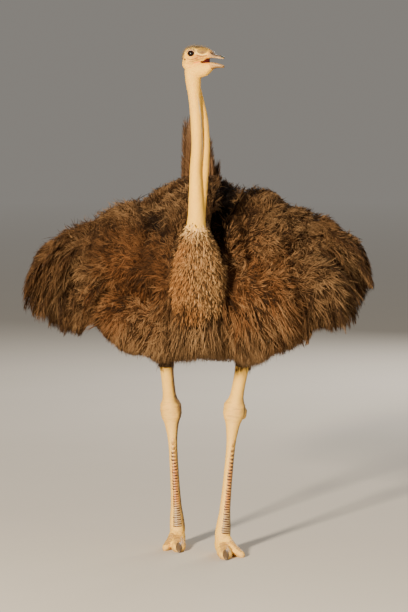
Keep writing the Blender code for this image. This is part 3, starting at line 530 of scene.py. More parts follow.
# The hide is painted near black as shade in the cleft and the gaps
hide.feed(Base_Color=hide.layers(hide_base, breast=(0.5, MID_PLUME), night=(1.0, NIGHT_PLUME)))
hide.bump(hide.noise(220.0), 0.002)
points = mesh_points(body_skin)
put_masks(body_skin, breast=breast_share(points), **markings(points))
shown(body_skin, hide, "brown_plumes", "torso", "wing_left", "wing_right", "breast")

# Plumage of the trunk and wings: thousands of soft, loose plumes, each a bundle of tapered barbs
# that fan a little and bend with their own weight. They root in the hide, radiate outward from
# where wing and breast meet, lift at the top of the wings and hang in a fringe below.

SEED = 7
# The plumage's lower and upper edge, seen from the front, at places across
EDGES = (
    (-0.652, 0.940, 1.000),
    (-0.637, 0.905, 1.030),
    (-0.607, 0.874, 1.105),
    (-0.577, 0.864, 1.138),
    (-0.548, 0.828, 1.168),
    (-0.489, 0.812, 1.202),
    (-0.432, 0.802, 1.220),
    (-0.418, 0.832, 1.222),
    (-0.400, 0.866, 1.226),
    (-0.385, 0.866, 1.238),
    (-0.370, 0.850, 1.250),
    (-0.341, 0.812, 1.274),
    (-0.281, 0.772, 1.290),
    (-0.252, 0.755, 1.302),
    (-0.193, 0.750, 1.324),
    (-0.163, 0.728, 1.342),
    (-0.133, 0.722, 1.374),
    (-0.070, 0.728, 1.392),
    (0.000, 0.742, 1.402),
    (0.090, 0.742, 1.398),
    (0.130, 0.736, 1.392),
    (0.160, 0.714, 1.388),
    (0.200, 0.710, 1.378),
    (0.237, 0.722, 1.362),
    (0.281, 0.756, 1.342),
    (0.311, 0.764, 1.310),
    (0.340, 0.768, 1.282),
    (0.370, 0.780, 1.284),
    (0.399, 0.800, 1.284),
    (0.420, 0.840, 1.284),
    (0.459, 0.848, 1.256),
    (0.488, 0.840, 1.248),
    (0.518, 0.834, 1.228),
    (0.562, 0.842, 1.188),
    (0.607, 0.910, 1.134),
    (0.636, 0.968, 1.076),
    (0.652, 0.995, 1.020),
)
EDGE_ACROSS, EDGE_LOW, EDGE_HIGH = np.array(EDGES).T
# Shift and seed of the noise that turns the plumes, for each axis
SWIRLS = ((0.0, 40), (3.1, 41), (7.7, 42))
# How far the strands' ends may reach to the sides, and to the front and back
SIDE_REACH = 0.648
BACK_REACH = 0.525


def within_edges(roots, way, bend, length, draw):
    """Lengths cut back where a strand would pass the plumage's edges; a few stray past them."""
    wispy = 0.05 + 0.09 * ((roots[:, 0] > -0.50) & (roots[:, 0] < -0.18) & (roots[:, 2] > 1.1))
    strays = draw.random(len(roots)) < wispy
    stray = np.where(strays, draw.uniform(0.0, 0.25, len(roots)) * (wispy + 0.08), 0.0)
    # Along the outline the plumes' ends gather in tufts with notches between them
    tufts = value_noise(roots * (1.0, 0.0, 0.0), 0.028, 12)
    stray = stray + draw.uniform(-0.010, 0.006, len(roots)) + 0.022 * (tufts - 0.55)
    share = np.full(len(roots), 0.12)
    for trial in np.arange(0.22, 1.01, 0.06):
        reach = (length * trial)[:, None]
        tip = roots + way * reach + bend * reach
        half = roots + way * reach * 0.5 + bend * reach * 0.25
        fits = (np.abs(tip[:, 0]) < SIDE_REACH + 0.2 * stray) & (np.abs(tip[:, 1] + 0.01) < BACK_REACH)
        for spot in (tip, half):
            fits &= spot[:, 2] < np.interp(spot[:, 0], EDGE_ACROSS, EDGE_HIGH) + stray
            fits &= spot[:, 2] > np.interp(spot[:, 0], EDGE_ACROSS, EDGE_LOW) - 0.6 * stray
            fits &= (cleft_share(spot) < 0.3) | (cleft_share(roots) > 0.3)
        share = np.where(fits, trial, share)
    return length * share


def skin_samples(thing, count, weight, draw):
    """Roots scattered over a skin with a weight for each face: points and ways out."""
    thing.data.calc_loop_triangles()
    corners = np.empty(len(thing.data.loop_triangles) * 3, np.int32)
    thing.data.loop_triangles.foreach_get("vertices", corners)
    corners = corners.reshape(-1, 3)
    points, normals = mesh_points(thing), mesh_normals(thing)
    a, b, c = (points[corners[:, k]] for k in range(3))
    area = np.linalg.norm(np.cross(b - a, c - a), axis=1) / 2
    middle = (a + b + c) / 3
    wanted = area * weight(middle, unit(normals[corners].sum(axis=1)))
    # Faces are taken cell by cell, in even steps, so that no patch is left bald
    order = np.lexsort(np.floor(middle / 0.016).T)
    steps = (np.arange(count) + draw.random(count)) / count
    chosen = order[np.searchsorted(np.cumsum(wanted[order]) / wanted.sum(), steps)]
    u, v = draw.random((2, count))
    flip = u + v > 1
    u, v = np.where(flip, 1 - u, u), np.where(flip, 1 - v, v)
    shares = np.stack([1 - u - v, u, v], 1)[..., None]
    picked = corners[chosen]
    return (points[picked] * shares).sum(1), unit((normals[picked] * shares).sum(1))


# Share of the way along and share of the width at a strand's rings
BARB_RINGS = ((0.45, 1.0),)
CURVED_RINGS = ((0.30, 1.0), (0.68, 0.78))
# Thickness of a strand for its width
THICKNESS = 0.32
# Size of a strand's patch on the map
PATCH = 0.003


def put_patches(thing, centre, along, corners, each):
    """The OFBake map: each strand is a small patch at its root's place on the skin's unwrap."""
    column = np.tile(np.arange(each) % 3, len(along)).reshape(along.shape) / 2 - 0.5
    place = np.repeat(centre, each, axis=0)
    place = place + PATCH * np.stack([column.ravel(), along.ravel() - 0.5], axis=1)
    layer = thing.data.uv_layers.new(name="OFBake")
    layer.data.foreach_set("uv", np.clip(place, 0.0, 1.0)[corners].astype(np.float32).ravel())


def strands(name, roots, flow, out, length, width, bend, masks, patch, rings=BARB_RINGS):
    """Closed, three-sided strands, pointed at both ends, as one mesh, each with its patch of map."""
    count, each = len(roots), len(rings) * 3 + 2
    side = unit(np.cross(flow, out))
    crown = np.cross(side, flow)
    points = np.empty((count, each, 3))
    along = np.empty((count, each))
    length, width = np.asarray(length)[:, None], np.asarray(width)[:, None]
    points[:, 0] = roots
    along[:, 0] = 0.0
    for k, (share, wide) in enumerate(rings):
        middle = roots + flow * length * share + bend * length * share**2
        half = side * width * wide / 2
        points[:, 3 * k + 1] = middle - half
        points[:, 3 * k + 2] = middle + crown * width * THICKNESS
        points[:, 3 * k + 3] = middle + half
        along[:, 3 * k + 1 : 3 * k + 4] = share
    points[:, -1] = roots + (flow + bend) * length
    along[:, -1] = 1.0
    faces = [(1 + (j + 1) % 3, 1 + j, 0) for j in range(3)]
    for k in range(len(rings) - 1):
        for j in range(3):
            a, b = 3 * k + j + 1, 3 * k + (j + 1) % 3 + 1
            faces += [(a, b, b + 3), (a, b + 3, a + 3)]
    last = 3 * len(rings) - 2
    faces += [(last + j, last + (j + 1) % 3, last + 3) for j in range(3)]
    corners = (np.array(faces)[None] + (np.arange(count) * each)[:, None, None]).reshape(-1)
    mesh = bpy.data.meshes.new(name)
    mesh.vertices.add(count * each)
    mesh.vertices.foreach_set("co", (points.reshape(-1, 3) + TO_FRAME).astype(np.float32).ravel())
    mesh.loops.add(len(corners))
    mesh.loops.foreach_set("vertex_index", corners.astype(np.int32))
    mesh.polygons.add(len(corners) // 3)
    mesh.polygons.foreach_set("loop_start", np.arange(0, len(corners), 3, dtype=np.int32))
    mesh.update(calc_edges=True)
    made = placed(name, mesh)
    put_masks(made, along=along.ravel(), **{mask: np.repeat(values, each) for mask, values in masks.items()})
    put_patches(made, patch, along, corners, each)
    mesh.shade_smooth()
    return made


def wrapped(points, axis, middle, start, end):
    """An unwrap of a long form: the turn round its axis, and the way along it."""
    one, other = [k for k in range(3) if k != axis]
    turn = np.arctan2(points[:, one] - middle[one], points[:, other] - middle[other])
    way = (points[:, axis] - start) / (end - start)
    return np.stack([0.02 + 0.96 * (turn / (2 * np.pi) + 0.5), 0.02 + 0.96 * np.clip(way, 0, 1)], 1)


def lifted(flow, out, lift):
    """Ways along the skin that rise from it by these angles."""
    flat = unit(flow - out * (flow * out).sum(1)[:, None])
    return flat * np.cos(lift)[:, None] + out * np.sin(lift)[:, None]


def coat_flow(points, out, draw):
    """Which way the coat lies at each root, and how long it is."""
    count = len(points)
    side = np.sign(points[:, 0])
    reach = np.abs(points[:, 0])
    rise = points[:, 2]
    wing = share_between(reach, 0.16, 0.27)
    far = share_between(reach, 0.36, 0.56)
    top = share_between(out[:, 2], 0.35, 0.80)
    under = share_between(-out[:, 2], 0.25, 0.75)
    front = share_between(-out[:, 1], -0.15, 0.45)
    # The front radiates from where the wing meets the breast
    angle = np.arctan2(rise - 1.04, reach - 0.02)
    ray = columns(side * np.cos(angle), -0.1, np.sin(angle))
    sag = 0.05 + 2.0 * far**2 + 0.55 * share_between(1.06 - rise, 0.0, 0.14)
    front_flow = unit(ray - UP * sag[:, None])
    back_flow = unit(columns(side * (0.15 + 0.35 * wing), 0.45 - 0.30 * wing, -0.9))
    trunk_top = unit(columns(side * 0.35 * share_between(reach, 0.02, 0.2), 1.0, 0.0))
    wing_top = unit(columns(side * 0.8, 0.25 * (1 - 2 * front), 0.55 * (1 - far)))
    top_flow = unit(trunk_top * (1 - wing)[:, None] + wing_top * wing[:, None])
    down = unit(columns(side * 0.25 * far, 0.12, -1.0))
    flow = back_flow * (1 - front)[:, None] + front_flow * front[:, None]
    flow = flow * (1 - top)[:, None] + top_flow * top[:, None]
    flow = unit(flow * (1 - under)[:, None] + down * under[:, None])
    # Loose plumes turn a little with their neighbours, and a little on their own
    swirl = columns(*(value_noise(points + shift, 0.055, seed) - 0.5 for shift, seed in SWIRLS))
    flow = unit(flow + swirl * 1.4 + draw.normal(0.0, 0.32, (count, 3)))
    grown = lifted(flow, out, 0.42 + 0.25 * top * wing + draw.normal(0.0, 0.16, count))
    grown = unit(grown * (1 - under)[:, None] + down * under[:, None])
    hang = share_between(-grown[:, 2], 0.50, 0.85)
    hang = hang * (1 - share_between(rise, 0.98 + 0.12 * far, 1.06 + 0.16 * far))
    length = 0.047 + 0.034 * far + 0.008 * wing
    drop = (rise - np.interp(points[:, 0], EDGE_ACROSS, EDGE_LOW)) / np.maximum(-grown[:, 2], 0.3)
    length = length * (1 - hang) + np.clip(drop, 0.05, 0.13) * hang
    return grown, length * draw.uniform(0.80, 1.10, count), 1 - 0.6 * hang


BARB_WIDTH = 0.0026
# Half width of a plume at its root
PLUME_SPREAD = 0.009
# Dark at the root, mid brown to rusty, with dusty paler ends; painted light makes some parts paler and
# painted shade others darker
plumage = Finish("loose_brown_plumage", Roughness=0.90, Specular_IOR_Level=0.12)
tone, along, dust = (plumage.mask(name) for name in ("tone", "along", "dust"))
base = plumage.blend(tone, DARK_PLUME, MID_PLUME)
base = plumage.blend(plumage.mask("rust") * plumage.held(tone * 1.5), base, RUST_PLUME)
# Paler ends from dust, and painted light where the lamp falls
pale = plumage.held(tone * 2.2 + dust * 0.6 - 1.0) * (dust * 0.75 + 0.25) * (along * 0.7 + 0.3)
base = plumage.blend(plumage.held(pale * 0.95), base, DUST_PLUME)
# Painted shade on the rims, lobes and low parts of the coat
base = plumage.layers(base, dusk=(0.8, DARK_PLUME))
base = plumage.blend(plumage.held(1 - along * 1.9) * 0.75, base, UNDER_DOWN)
# Painted shade: near black in the cleft and the gaps
base = plumage.layers(base, night=(0.95, NIGHT_PLUME))
grain = plumage.noise(900.0, 2.0)
plumage.feed(Base_Color=plumage.blend(grain * 0.35, base, DARK_PLUME))
plumage.bump(grain, 0.0006, 0.6)


def plume_coat(name, roots, out, each, unwrap, draw):
    """A piece of the coat: at each root a plume of this many barbs, fine and curved where few."""
    flow, length, loose = coat_flow(roots, out, draw)
    side = unit(np.cross(flow, out))
    # Tone differs at random from plume to plume, darker in blotches of painted shade for the coat's lumps;
    # one plume in five is a dark one, painted shade that shows as a gap between the others
    lumps = 0.6 * value_noise(roots, 0.050, 61) + 0.4 * value_noise(roots, 0.022, 62)
    tone = draw.normal(0.55, 0.20, len(roots)) + 0.12 * (roots[:, 0] > 0.05)
    tone = np.clip(tone + 1.5 * (lumps - 0.5), 0, 1)
    tone = tone * (draw.random(len(roots)) > 0.2)
    again = np.repeat(np.arange(len(roots)), each)
    spread = draw.normal(-0.05, 0.22, len(roots))[again]
    curl = draw.normal(0.0, 0.50, len(roots))[again]
    droops = draw.uniform(0.0, 0.40, len(roots))[again]
    lifts = draw.uniform(-0.30, 0.35, len(roots))[again]
    count = len(again)
    across = draw.uniform(-1.0, 1.0, count)
    behind = draw.uniform(0.0, 1.0, count)
    base = roots[again] + side[again] * (across * PLUME_SPREAD)[:, None]
    base = base - out[again] * (0.002 + 0.010 * behind)[:, None] + flow[again] * (0.032 * behind)[:, None]
    fan = unit(flow[again] + side[again] * (spread * across)[:, None] + draw.normal(0, 0.09, (count, 3)))
    droop = -UP * droops[:, None] - out[again] * lifts[:, None] + draw.normal(0.0, 0.07, (count, 3))
    droop = droop + side[again] * ((curl + draw.normal(0.0, 0.10, count)) * loose[again])[:, None]
    reach = within_edges(base, fan, droop, length[again] * draw.uniform(0.60, 1.0, count), draw)
    masks = {key: value[again] for key, value in markings(roots).items()}
    masks["tone"] = np.clip(tone[again] + draw.normal(0.0, 0.16, count), 0, 1)
    fine = each < 10
    width = BARB_WIDTH * (1.0 if fine else 1.45) * draw.uniform(0.7, 1.3, count)
    face = unit(out[again] + draw.normal(0.0, 0.35, (count, 3)))
    rings = CURVED_RINGS if fine else BARB_RINGS
    made = strands(name, base, fan, face, reach, width, droop, masks, unwrap(roots)[again], rings)
    shown(made, plumage, "brown_plumes")


def wing_unwrap(side):
    """One wing's unwrap: the turn round its length, from shoulder to tip."""
    return lambda points: wrapped(points, 0, (0.0, 0.02, 1.07), side * 0.2, side * 0.66)


def trunk_unwrap(points):
    """The trunk's unwrap: the turn round its length, from chest to rump."""
    return wrapped(points, 1, (0.0, 0.0, 1.09), -0.50, 0.55)


def off_breast(points):
    """Weight of the long plumes round the breast."""
    bib = (points[:, 1] < -0.385) & (points[:, 2] > 1.0)
    return np.clip(1 - 1.4 * breast_share(points), 0, 1) * ~bib


# Name, plumes, barbs of each and side of the bird (0 for both)
PLUME_PARTS = (
    ("plumes_chest_right", 2650, 6, -1),
    ("plumes_chest_left", 2650, 6, 1),
    ("plumes_back", 1420, 11, 0),
    ("plumes_flanks", 1520, 11, 0),
    ("plumes_wing_right_front", 2600, 6, -1),
    ("plumes_wing_left_front", 2600, 6, 1),
    ("plumes_wing_right_back", 1220, 11, -1),
    ("plumes_wing_left_back", 1220, 11, 1),
)


def part_weight(name, side, points, normals):
    """1 where the plumes of one piece of the coat grow."""
    reach, faces_back = np.abs(points[:, 0]), normals[:, 1]
    if "wing" in name:
        grows = (reach > 0.23) * ((faces_back < 0.1) == name.endswith("front"))
    elif "chest" in name:
        grows = (reach < 0.25) * (faces_back < -0.1) * off_breast(points)
    else:
        grows = (reach < 0.25) * (faces_back >= -0.1) * ((points[:, 2] > 1.12) == name.endswith("back"))
    return grows * (points[:, 0] * side >= 0)


draw = np.random.default_rng(SEED)
for name, plumes, barbs, side in PLUME_PARTS:
    roots, out = skin_samples(body_skin, plumes, lambda p, n: part_weight(name, side, p, n), draw)
    plume_coat(name, roots, out, barbs, wing_unwrap(side) if "wing" in name else trunk_unwrap, draw)

# Large loose plumes on the wings' outer lobes and lower rims, where the photographed bird's wing
# quills curve down. Each is a thin shaft with soft, separate barbs down both sides; they root deep
# in the coat, arch outward and droop at their ends.

RIM_PLUMES = 110
RIM_BARBS = 56
RIM_BARB_WIDTH = 0.0030


def vane_barbs(roots, grow, face, length, half_width, bend, each, draw):
    """Barbs down both sides of feathers: numbers of their feathers, roots, ways, lengths."""
    again = np.repeat(np.arange(len(roots)), each)
    share = np.tile(np.linspace(0.10, 1.0, each), len(roots)) + draw.normal(0, 0.01, len(again))
    share = np.clip(share, 0.05, 1.0)
    hand = np.where(np.arange(len(again)) % 2, 1.0, -1.0)
    across = unit(np.cross(grow, face))
    way = length[:, None] * grow
    base = roots[again] + way[again] * share[:, None] + (length[:, None] * bend)[again] * share[:, None] ** 2
    heading = unit(grow[again] + 2 * bend[again] * share[:, None])
    angle = np.radians(46 - 30 * share + draw.normal(0, 7, len(again)))
    turned = unit(heading * np.cos(angle)[:, None] + across[again] * (hand * np.sin(angle))[:, None])
    profile = np.sin(np.pi * np.clip(share * 0.72 + 0.16, 0, 1)) ** 0.6
    reach = half_width[again] * profile / np.maximum(np.sin(angle), 0.35)
    return again, base, turned, reach * draw.uniform(0.75, 1.1, len(again)), share


def vane_feathers(name, feathers, each, barb_width, draw, unwrap, edged=True):
    """Feathers with a shaft and barbs as one mesh, from their roots, ways, faces and sizes."""
    roots, grow, face, length, half_width, bend, tone = feathers
    again, base, turned, reach, share = vane_barbs(roots, grow, face, length, half_width, bend, each, draw)
    normal = unit(face[again] + draw.normal(0, 0.22, (len(again), 3)))
    sag = bend[again] * 0.5 - UP * draw.uniform(0.02, 0.30, (len(again), 1))
    width = barb_width * draw.uniform(0.8, 1.2, len(again))
    # The shafts follow the barbs
    base, turned = np.vstack([base, roots]), np.vstack([turned, grow])
    normal, sag = np.vstack([normal, unit(face)]), np.vstack([sag, bend])
    reach = np.concatenate([reach, length * 0.97])
    if edged:
        reach = within_edges(base, turned, sag, reach, draw)
    width = np.concatenate([width, np.full(len(roots), barb_width * 0.9)])
    owner = np.concatenate([again, np.arange(len(roots))])
    masks = {key: value[owner] for key, value in markings(roots).items()}
    masks["tone"] = np.clip(tone[owner] + draw.normal(0, 0.12, len(owner)), 0, 1)
    masks["end"] = np.concatenate([share, np.zeros(len(roots))])
    return strands(name, base, turned, normal, reach, width, sag, masks, unwrap(roots)[owner])


def far_out(points, normals, side):
    """Weight of a wing's outer lobe and lower rim."""
    reach = points[:, 0] * side
    rim = share_between(reach, 0.36, 0.50) + 0.5 * share_between(reach, 0.22, 0.30) * (normals[:, 2] < -0.2)
    return rim * (reach > 0)


def rim_feathers(side, draw):
    """Where the long plumes of one wing root, which way they grow and how they bend."""
    roots, out = skin_samples(body_skin, RIM_PLUMES, lambda p, n: far_out(p, n, side), draw)
    far = share_between(np.abs(roots[:, 0]), 0.30, 0.56)
    low = share_between(1.10 - roots[:, 2], 0.0, 0.12)
    grow = columns(side * (0.9 - 0.45 * low), 0.30 * out[:, 1], 0.12 - 1.0 * low)
    grow = unit(unit(grow) + 0.55 * out + draw.normal(0, 0.16, (len(roots), 3)))
    bend = columns(side * -0.16 * low, 0.0, -0.35 - 0.55 * far * (1 - low))
    bend = bend + draw.normal(0, 0.10, (len(roots), 3))
    length = draw.uniform(0.12, 0.175, len(roots)) * (1 - 0.15 * low)
    face = unit(out + draw.normal(0, 0.25, (len(roots), 3)))
    tone = draw.uniform(0.0, 0.55, len(roots))
    length = within_edges(roots, grow, bend, length, draw)
    return roots - out * 0.02, grow, face, length, draw.uniform(0.018, 0.028, len(roots)), bend, tone


for side, hand in ((-1.0, "right"), (1.0, "left")):
    feathers = rim_feathers(side, draw)
    made = vane_feathers("rim_plumes_" + hand, feathers, RIM_BARBS, RIM_BARB_WIDTH, draw, wing_unwrap(side))
    shown(made, plumage, "brown_plumes")

# Breast feathers: small, soft, leaf-shaped, each lying over the next down the swell of the breast.
# They are grey-tan with light ends and dark gaps, painted as shade on some dark leaves, and grow cream and
# short at the neck's foot.

BREAST_LEAVES = 14000
LEAF_WIDTH = 0.0045
TAN_LEAF = (0.285, 0.135, 0.044)
LIGHT_LEAF = (0.50, 0.315, 0.140)
CREAM_LEAF = (0.78, 0.50, 0.20)
WARM_LEAF = (0.34, 0.135, 0.036)

leaf = Finish("tan_breast_feathers", Roughness=0.90, Specular_IOR_Level=0.12)
along, tone = leaf.mask("along"), leaf.mask("tone")
base = leaf.blend(tone, MID_PLUME, TAN_LEAF)
base = leaf.blend(leaf.held(along * 1.6 - 0.35), base, leaf.blend(tone, TAN_LEAF, LIGHT_LEAF))
# Painted shade: the dark leaves show as gaps
base = leaf.layers(
    base, warm=(0.6, WARM_LEAF), edge=(0.8, MID_PLUME), cream=(1.0, CREAM_LEAF), dim=(1.0, DARK_PLUME)
)
leaf.feed(Base_Color=leaf.blend(leaf.held(1.0 - along * 1.9), base, DARK_PLUME))
leaf.bump(leaf.noise(1100.0, 2.0), 0.0005, 0.5)


def leaf_coat(name, roots, out, length, draw, width):
    """Leaf feathers that lie down the breast."""
    flow = unit(columns(2.2 * roots[:, 0], 0.0, -1.0) + draw.normal(0, 0.16, (len(roots), 3)))
    grown = lifted(flow, out, np.clip(draw.normal(0.38, 0.20, len(roots)), 0.05, 0.9))
    masks = markings(roots)
    masks["tone"] = np.clip(draw.normal(0.5, 0.30, len(roots)), 0, 1)
    # Painted shade: about one leaf in four is painted dark, as a gap between the others
    masks["dim"] = 0.85 * (draw.random(len(roots)) < 0.28)
    masks["cream"] = share_between(roots[:, 2] + draw.normal(0, 0.012, len(roots)), 1.190, 1.245)
    masks["edge"] = np.clip(1.15 - breast_share(roots), 0, 1) * (roots[:, 2] < 1.15)
    masks["warm"] = np.clip(0.3 - roots[:, 0] / 0.08 + 1.2 * (value_noise(roots, 0.05, 9) - 0.4), 0, 1)
    bend = -out * draw.uniform(0.05, 0.40, (len(roots), 1)) + draw.normal(0, 0.16, out.shape)
    face = unit(out + draw.normal(0, 0.28, out.shape))
    rings = ((0.32, 1.0), (0.70, 0.85))
    unwrap = wrapped(roots, 2, (0.0, -0.33, 0.0), 0.80, 1.26)
    wide = width * draw.uniform(0.75, 1.15, len(roots))
    made = strands(name, roots - out * 0.004, grown, face, length, wide, bend, masks, unwrap, rings)
    shown(made, leaf, "breast_feathers")


def breast_weight(points, normals):
    """1 on the breast's swell, where the leaf feathers grow."""
    return breast_share(points) * (normals[:, 1] < 0.35)


roots, out = skin_samples(body_skin, BREAST_LEAVES, breast_weight, draw)
upper = share_between(roots[:, 2], 1.10, 1.22)
lowest = share_between(-roots[:, 2], -0.98, -0.90)
leaf_length = (0.031 - 0.008 * upper + 0.022 * lowest) * draw.uniform(0.8, 1.25, len(roots))
leaf_coat("breast_feathers", roots, out, leaf_length, draw, LEAF_WIDTH)

# The tail: a brush of long loose vanes raised behind the neck, in ten tiers from upright to
# leaning back, on a small dark rump. Their barbs are brown with worn, paler ends.

TAIL_ROOT = np.array((0.004, 0.450, 1.200))
# Lean back in degrees, length, count and half spread of each tier
TAIL_TIERS = (
    (1, 0.405, 7, 0.045),
    (7, 0.395, 6, 0.052),
    (14, 0.390, 7, 0.056),
    (21, 0.375, 6, 0.054),
    (28, 0.360, 6, 0.052),
    (36, 0.340, 6, 0.052),
    (45, 0.304, 6, 0.050),
    (56, 0.272, 6, 0.048),
    (70, 0.224, 6, 0.048),
    (86, 0.174, 6, 0.050),
)
TAIL_HALF_WIDTH = 0.036
TAIL_BARBS = 230
TAIL_BARB_WIDTH = 0.0032
# How much shorter the upright vanes at the left end are
SHORT_SIDE = 0.31
WORN_PLUME = (0.42, 0.270, 0.155)
DUSTY_TAIL = (0.27, 0.145, 0.072)


def tail_feathers(draw):
    """The vanes of the tail as arrays: roots, ways, faces, sizes and bends."""
    rows = []
    for lean, length, count, spread in TAIL_TIERS:
        back = math.radians(lean)
        for k in range(count):
            place = 2 * k / (count - 1) - 1 + draw.uniform(-0.1, 0.1)
            aside = place * (0.01 if place > 0 else -0.03)
            grow = np.array((aside, math.sin(back), math.cos(back)))
            grow = grow + draw.normal(0, 1, 3) * (0.016, 0.045, 0.040)
            turn = -place * 1.05
            facing = np.array((math.sin(turn), -math.cos(back) * math.cos(turn), math.sin(back)))
            root = TAIL_ROOT + (place * spread, 0.02 * math.sin(back), -0.01)
            short_side = SHORT_SIDE * max(place, 0.0) * math.cos(back)
            reach = length * (0.98 - 0.06 * place - short_side) * draw.uniform(0.93, 1.03)
            bend = np.array((place * 0.02, 0.05, -0.10)) * (0.3 + math.sin(back))
            wide = TAIL_HALF_WIDTH * draw.uniform(0.8, 1.1)
            rows.append((root, unit(grow), unit(facing), reach, wide, bend, draw.uniform(0.15, 0.8)))
    return [np.array(column) for column in zip(*rows)]


def tail_unwrap(points):
    """The tail's unwrap: the turn round the rump, and the way up."""
    return wrapped(points, 2, (0.004, 0.45, 0.0), 1.10, 1.66)


rump = ball("rump", TAIL_ROOT - (0.0, 0.0, 0.012), (0.054, 0.046, 0.078), 40, 24)
put_masks(rump, **markings(mesh_points(rump)))
shown(rump, hide, "brown_plumes", "tail")

tail_finish = Finish("tail_plumes", Roughness=0.90, Specular_IOR_Level=0.12)
tone, end = tail_finish.mask("tone"), tail_finish.mask("end")
base = tail_finish.blend(tone, DARK_PLUME, MID_PLUME)
worn = tail_finish.held(end * 2.6 - 1.7) * tail_finish.held(tone * 1.4 - 0.2)
base = tail_finish.blend(worn, base, WORN_PLUME)
tail_finish.feed(Base_Color=tail_finish.blend(tail_finish.noise(500.0) * 0.5, base, DUSTY_TAIL))
tail_draw = np.random.default_rng(SEED + 4)
feathers = tail_feathers(tail_draw)
tail = vane_feathers("tail_plumes", feathers, TAIL_BARBS, TAIL_BARB_WIDTH, tail_draw, tail_unwrap, False)
shown(tail, tail_finish, "brown_plumes")

# Head and neck as one skin: skull, cheeks, throat, lids and the long neck with the gullet as a
# second strand beside it. Thin, cream, nearly bare skin, with folds under the eye, a ridge round
# the lores, raised lids, ear openings and the corners of the open mouth.

# Place ahead of the eye, half width, lowest and highest of the skull with the upper bill
SKULL = (
    (-0.039, 0.0120, -0.0320, -0.0010),
    (-0.035, 0.0235, -0.0475, 0.0090),
    (-0.026, 0.0330, -0.0535, 0.0190),
    (-0.012, 0.0375, -0.0520, 0.0245),
    (0.004, 0.0385, -0.0460, 0.0257),
    (0.018, 0.0350, -0.0400, 0.0250),
    (0.031, 0.0308, -0.0335, 0.0230),
    (0.042, 0.0272, -0.0262, 0.0203),
    (0.052, 0.0236, -0.0194, 0.0170),
    (0.058, 0.0219, -0.0178, 0.0142),
    (0.063, 0.0200, -0.0158, 0.0104),
    (0.067, 0.0145, -0.0150, 0.0035),
)
JAW = (
    (-0.026, 0.0230, -0.0790, -0.0400),
    (-0.012, 0.0285, -0.0875, -0.0340),
    (0.004, 0.0298, -0.0905, -0.0280),
    (0.020, 0.0288, -0.0875, -0.0270),
    (0.034, 0.0264, -0.0825, -0.0292),
    (0.046, 0.0236, -0.0785, -0.0310),
    (0.058, 0.0205, -0.0690, -0.0312),
    (0.068, 0.0188, -0.0585, -0.0325),
    (0.076, 0.0178, -0.0538, -0.0342),
    (0.083, 0.0125, -0.0515, -0.0370),
)
# X, Y, Z, half width and half depth of the neck's column, then of the gullet beside it
NECK = (
    (-0.006, -0.430, 1.150, 0.0340, 0.0360),
    (-0.006, -0.460, 1.225, 0.0350, 0.0372),
    (-0.005, -0.478, 1.285, 0.0298, 0.0342),
    (-0.006, -0.488, 1.350, 0.0258, 0.0318),
    (-0.007, -0.490, 1.440, 0.0214, 0.0299),
    (-0.002, -0.486, 1.530, 0.0204, 0.0284),
    (-0.005, -0.480, 1.620, 0.0211, 0.0274),
    (-0.011, -0.474, 1.700, 0.0224, 0.0274),
    (-0.0165, -0.467, 1.760, 0.0274, 0.0299),
    (-0.0160, -0.465, 1.800, 0.0300, 0.0320),
)
GULLET = (
    (0.002, -0.470, 1.225, 0.0235, 0.0235),
    (0.007, -0.472, 1.300, 0.0210, 0.0210),
    (0.0125, -0.472, 1.350, 0.0200, 0.0200),
    (0.0200, -0.470, 1.440, 0.0186, 0.0198),
    (0.0250, -0.464, 1.530, 0.0178, 0.0188),
    (0.0195, -0.458, 1.620, 0.0163, 0.0178),
    (0.0040, -0.456, 1.700, 0.0140, 0.0160),
    (-0.0060, -0.460, 1.750, 0.0120, 0.0140),
)
HEAD_VOXEL = 0.00145
EYE_RADIUS = 0.0165
EYE_LOOKS_AHEAD = math.radians(12.0)
LID_OPENING = (0.0143, 0.0118)
# Lines on the side of the face: places ahead of the eye and heights
LORE_RIDGE = ((0.020, 0.009), (0.023, 0.004), (0.031, -0.003), (0.043, -0.006), (0.056, -0.002))
UNDER_RIDGE = ((0.025, -0.0075), (0.037, -0.0105), (0.058, -0.0085))
EYE_FOLD = ((-0.012, -0.0190), (0.002, -0.0225), (0.014, -0.0200), (0.026, -0.0150))
CHEEK_FOLD = ((-0.004, -0.0300), (0.010, -0.0275), (0.026, -0.0200))
MOUTH_FOLD = ((0.020, -0.0255), (0.031, -0.0215), (0.044, -0.0160))
GAPE_LINE = ((0.010, -0.0335), (0.020, -0.0315), (0.0335, -0.0290))
LOWER_LIP = ((0.0335, -0.0315), (0.046, -0.0345), (0.064, -0.0360))
UPPER_LIP = ((0.0335, -0.0285), (0.046, -0.0225), (0.058, -0.0165))
# Places of the same kind: the middle of the ear, and of the hollow before the eye
EAR = (-0.0235, -0.0220)
LORE_HOLLOW = (0.043, 0.0035)
EAR_DEPTH = 0.0065
LORE_DEPTH = 0.0018
# Where the sockets under the lids end, and how far they are from the eye's middle
SOCKET_REACH = 0.024
SOCKET_RADIUS = 0.0146
# The dark opening of the mouth: places ahead and heights of its upper and lower edge
MOUTH_TOP = ((0.033, 0.046, 0.058, 0.066), (-0.0300, -0.0232, -0.0172, -0.0155))
MOUTH_BOTTOM = ((0.033, 0.046, 0.066), (-0.0303, -0.0317, -0.0322))
# Heights, and places across, of the vein down the front of the neck
VEIN = ((1.45, 1.53, 1.62, 1.70), (0.014, 0.0165, 0.0125, 0.0))
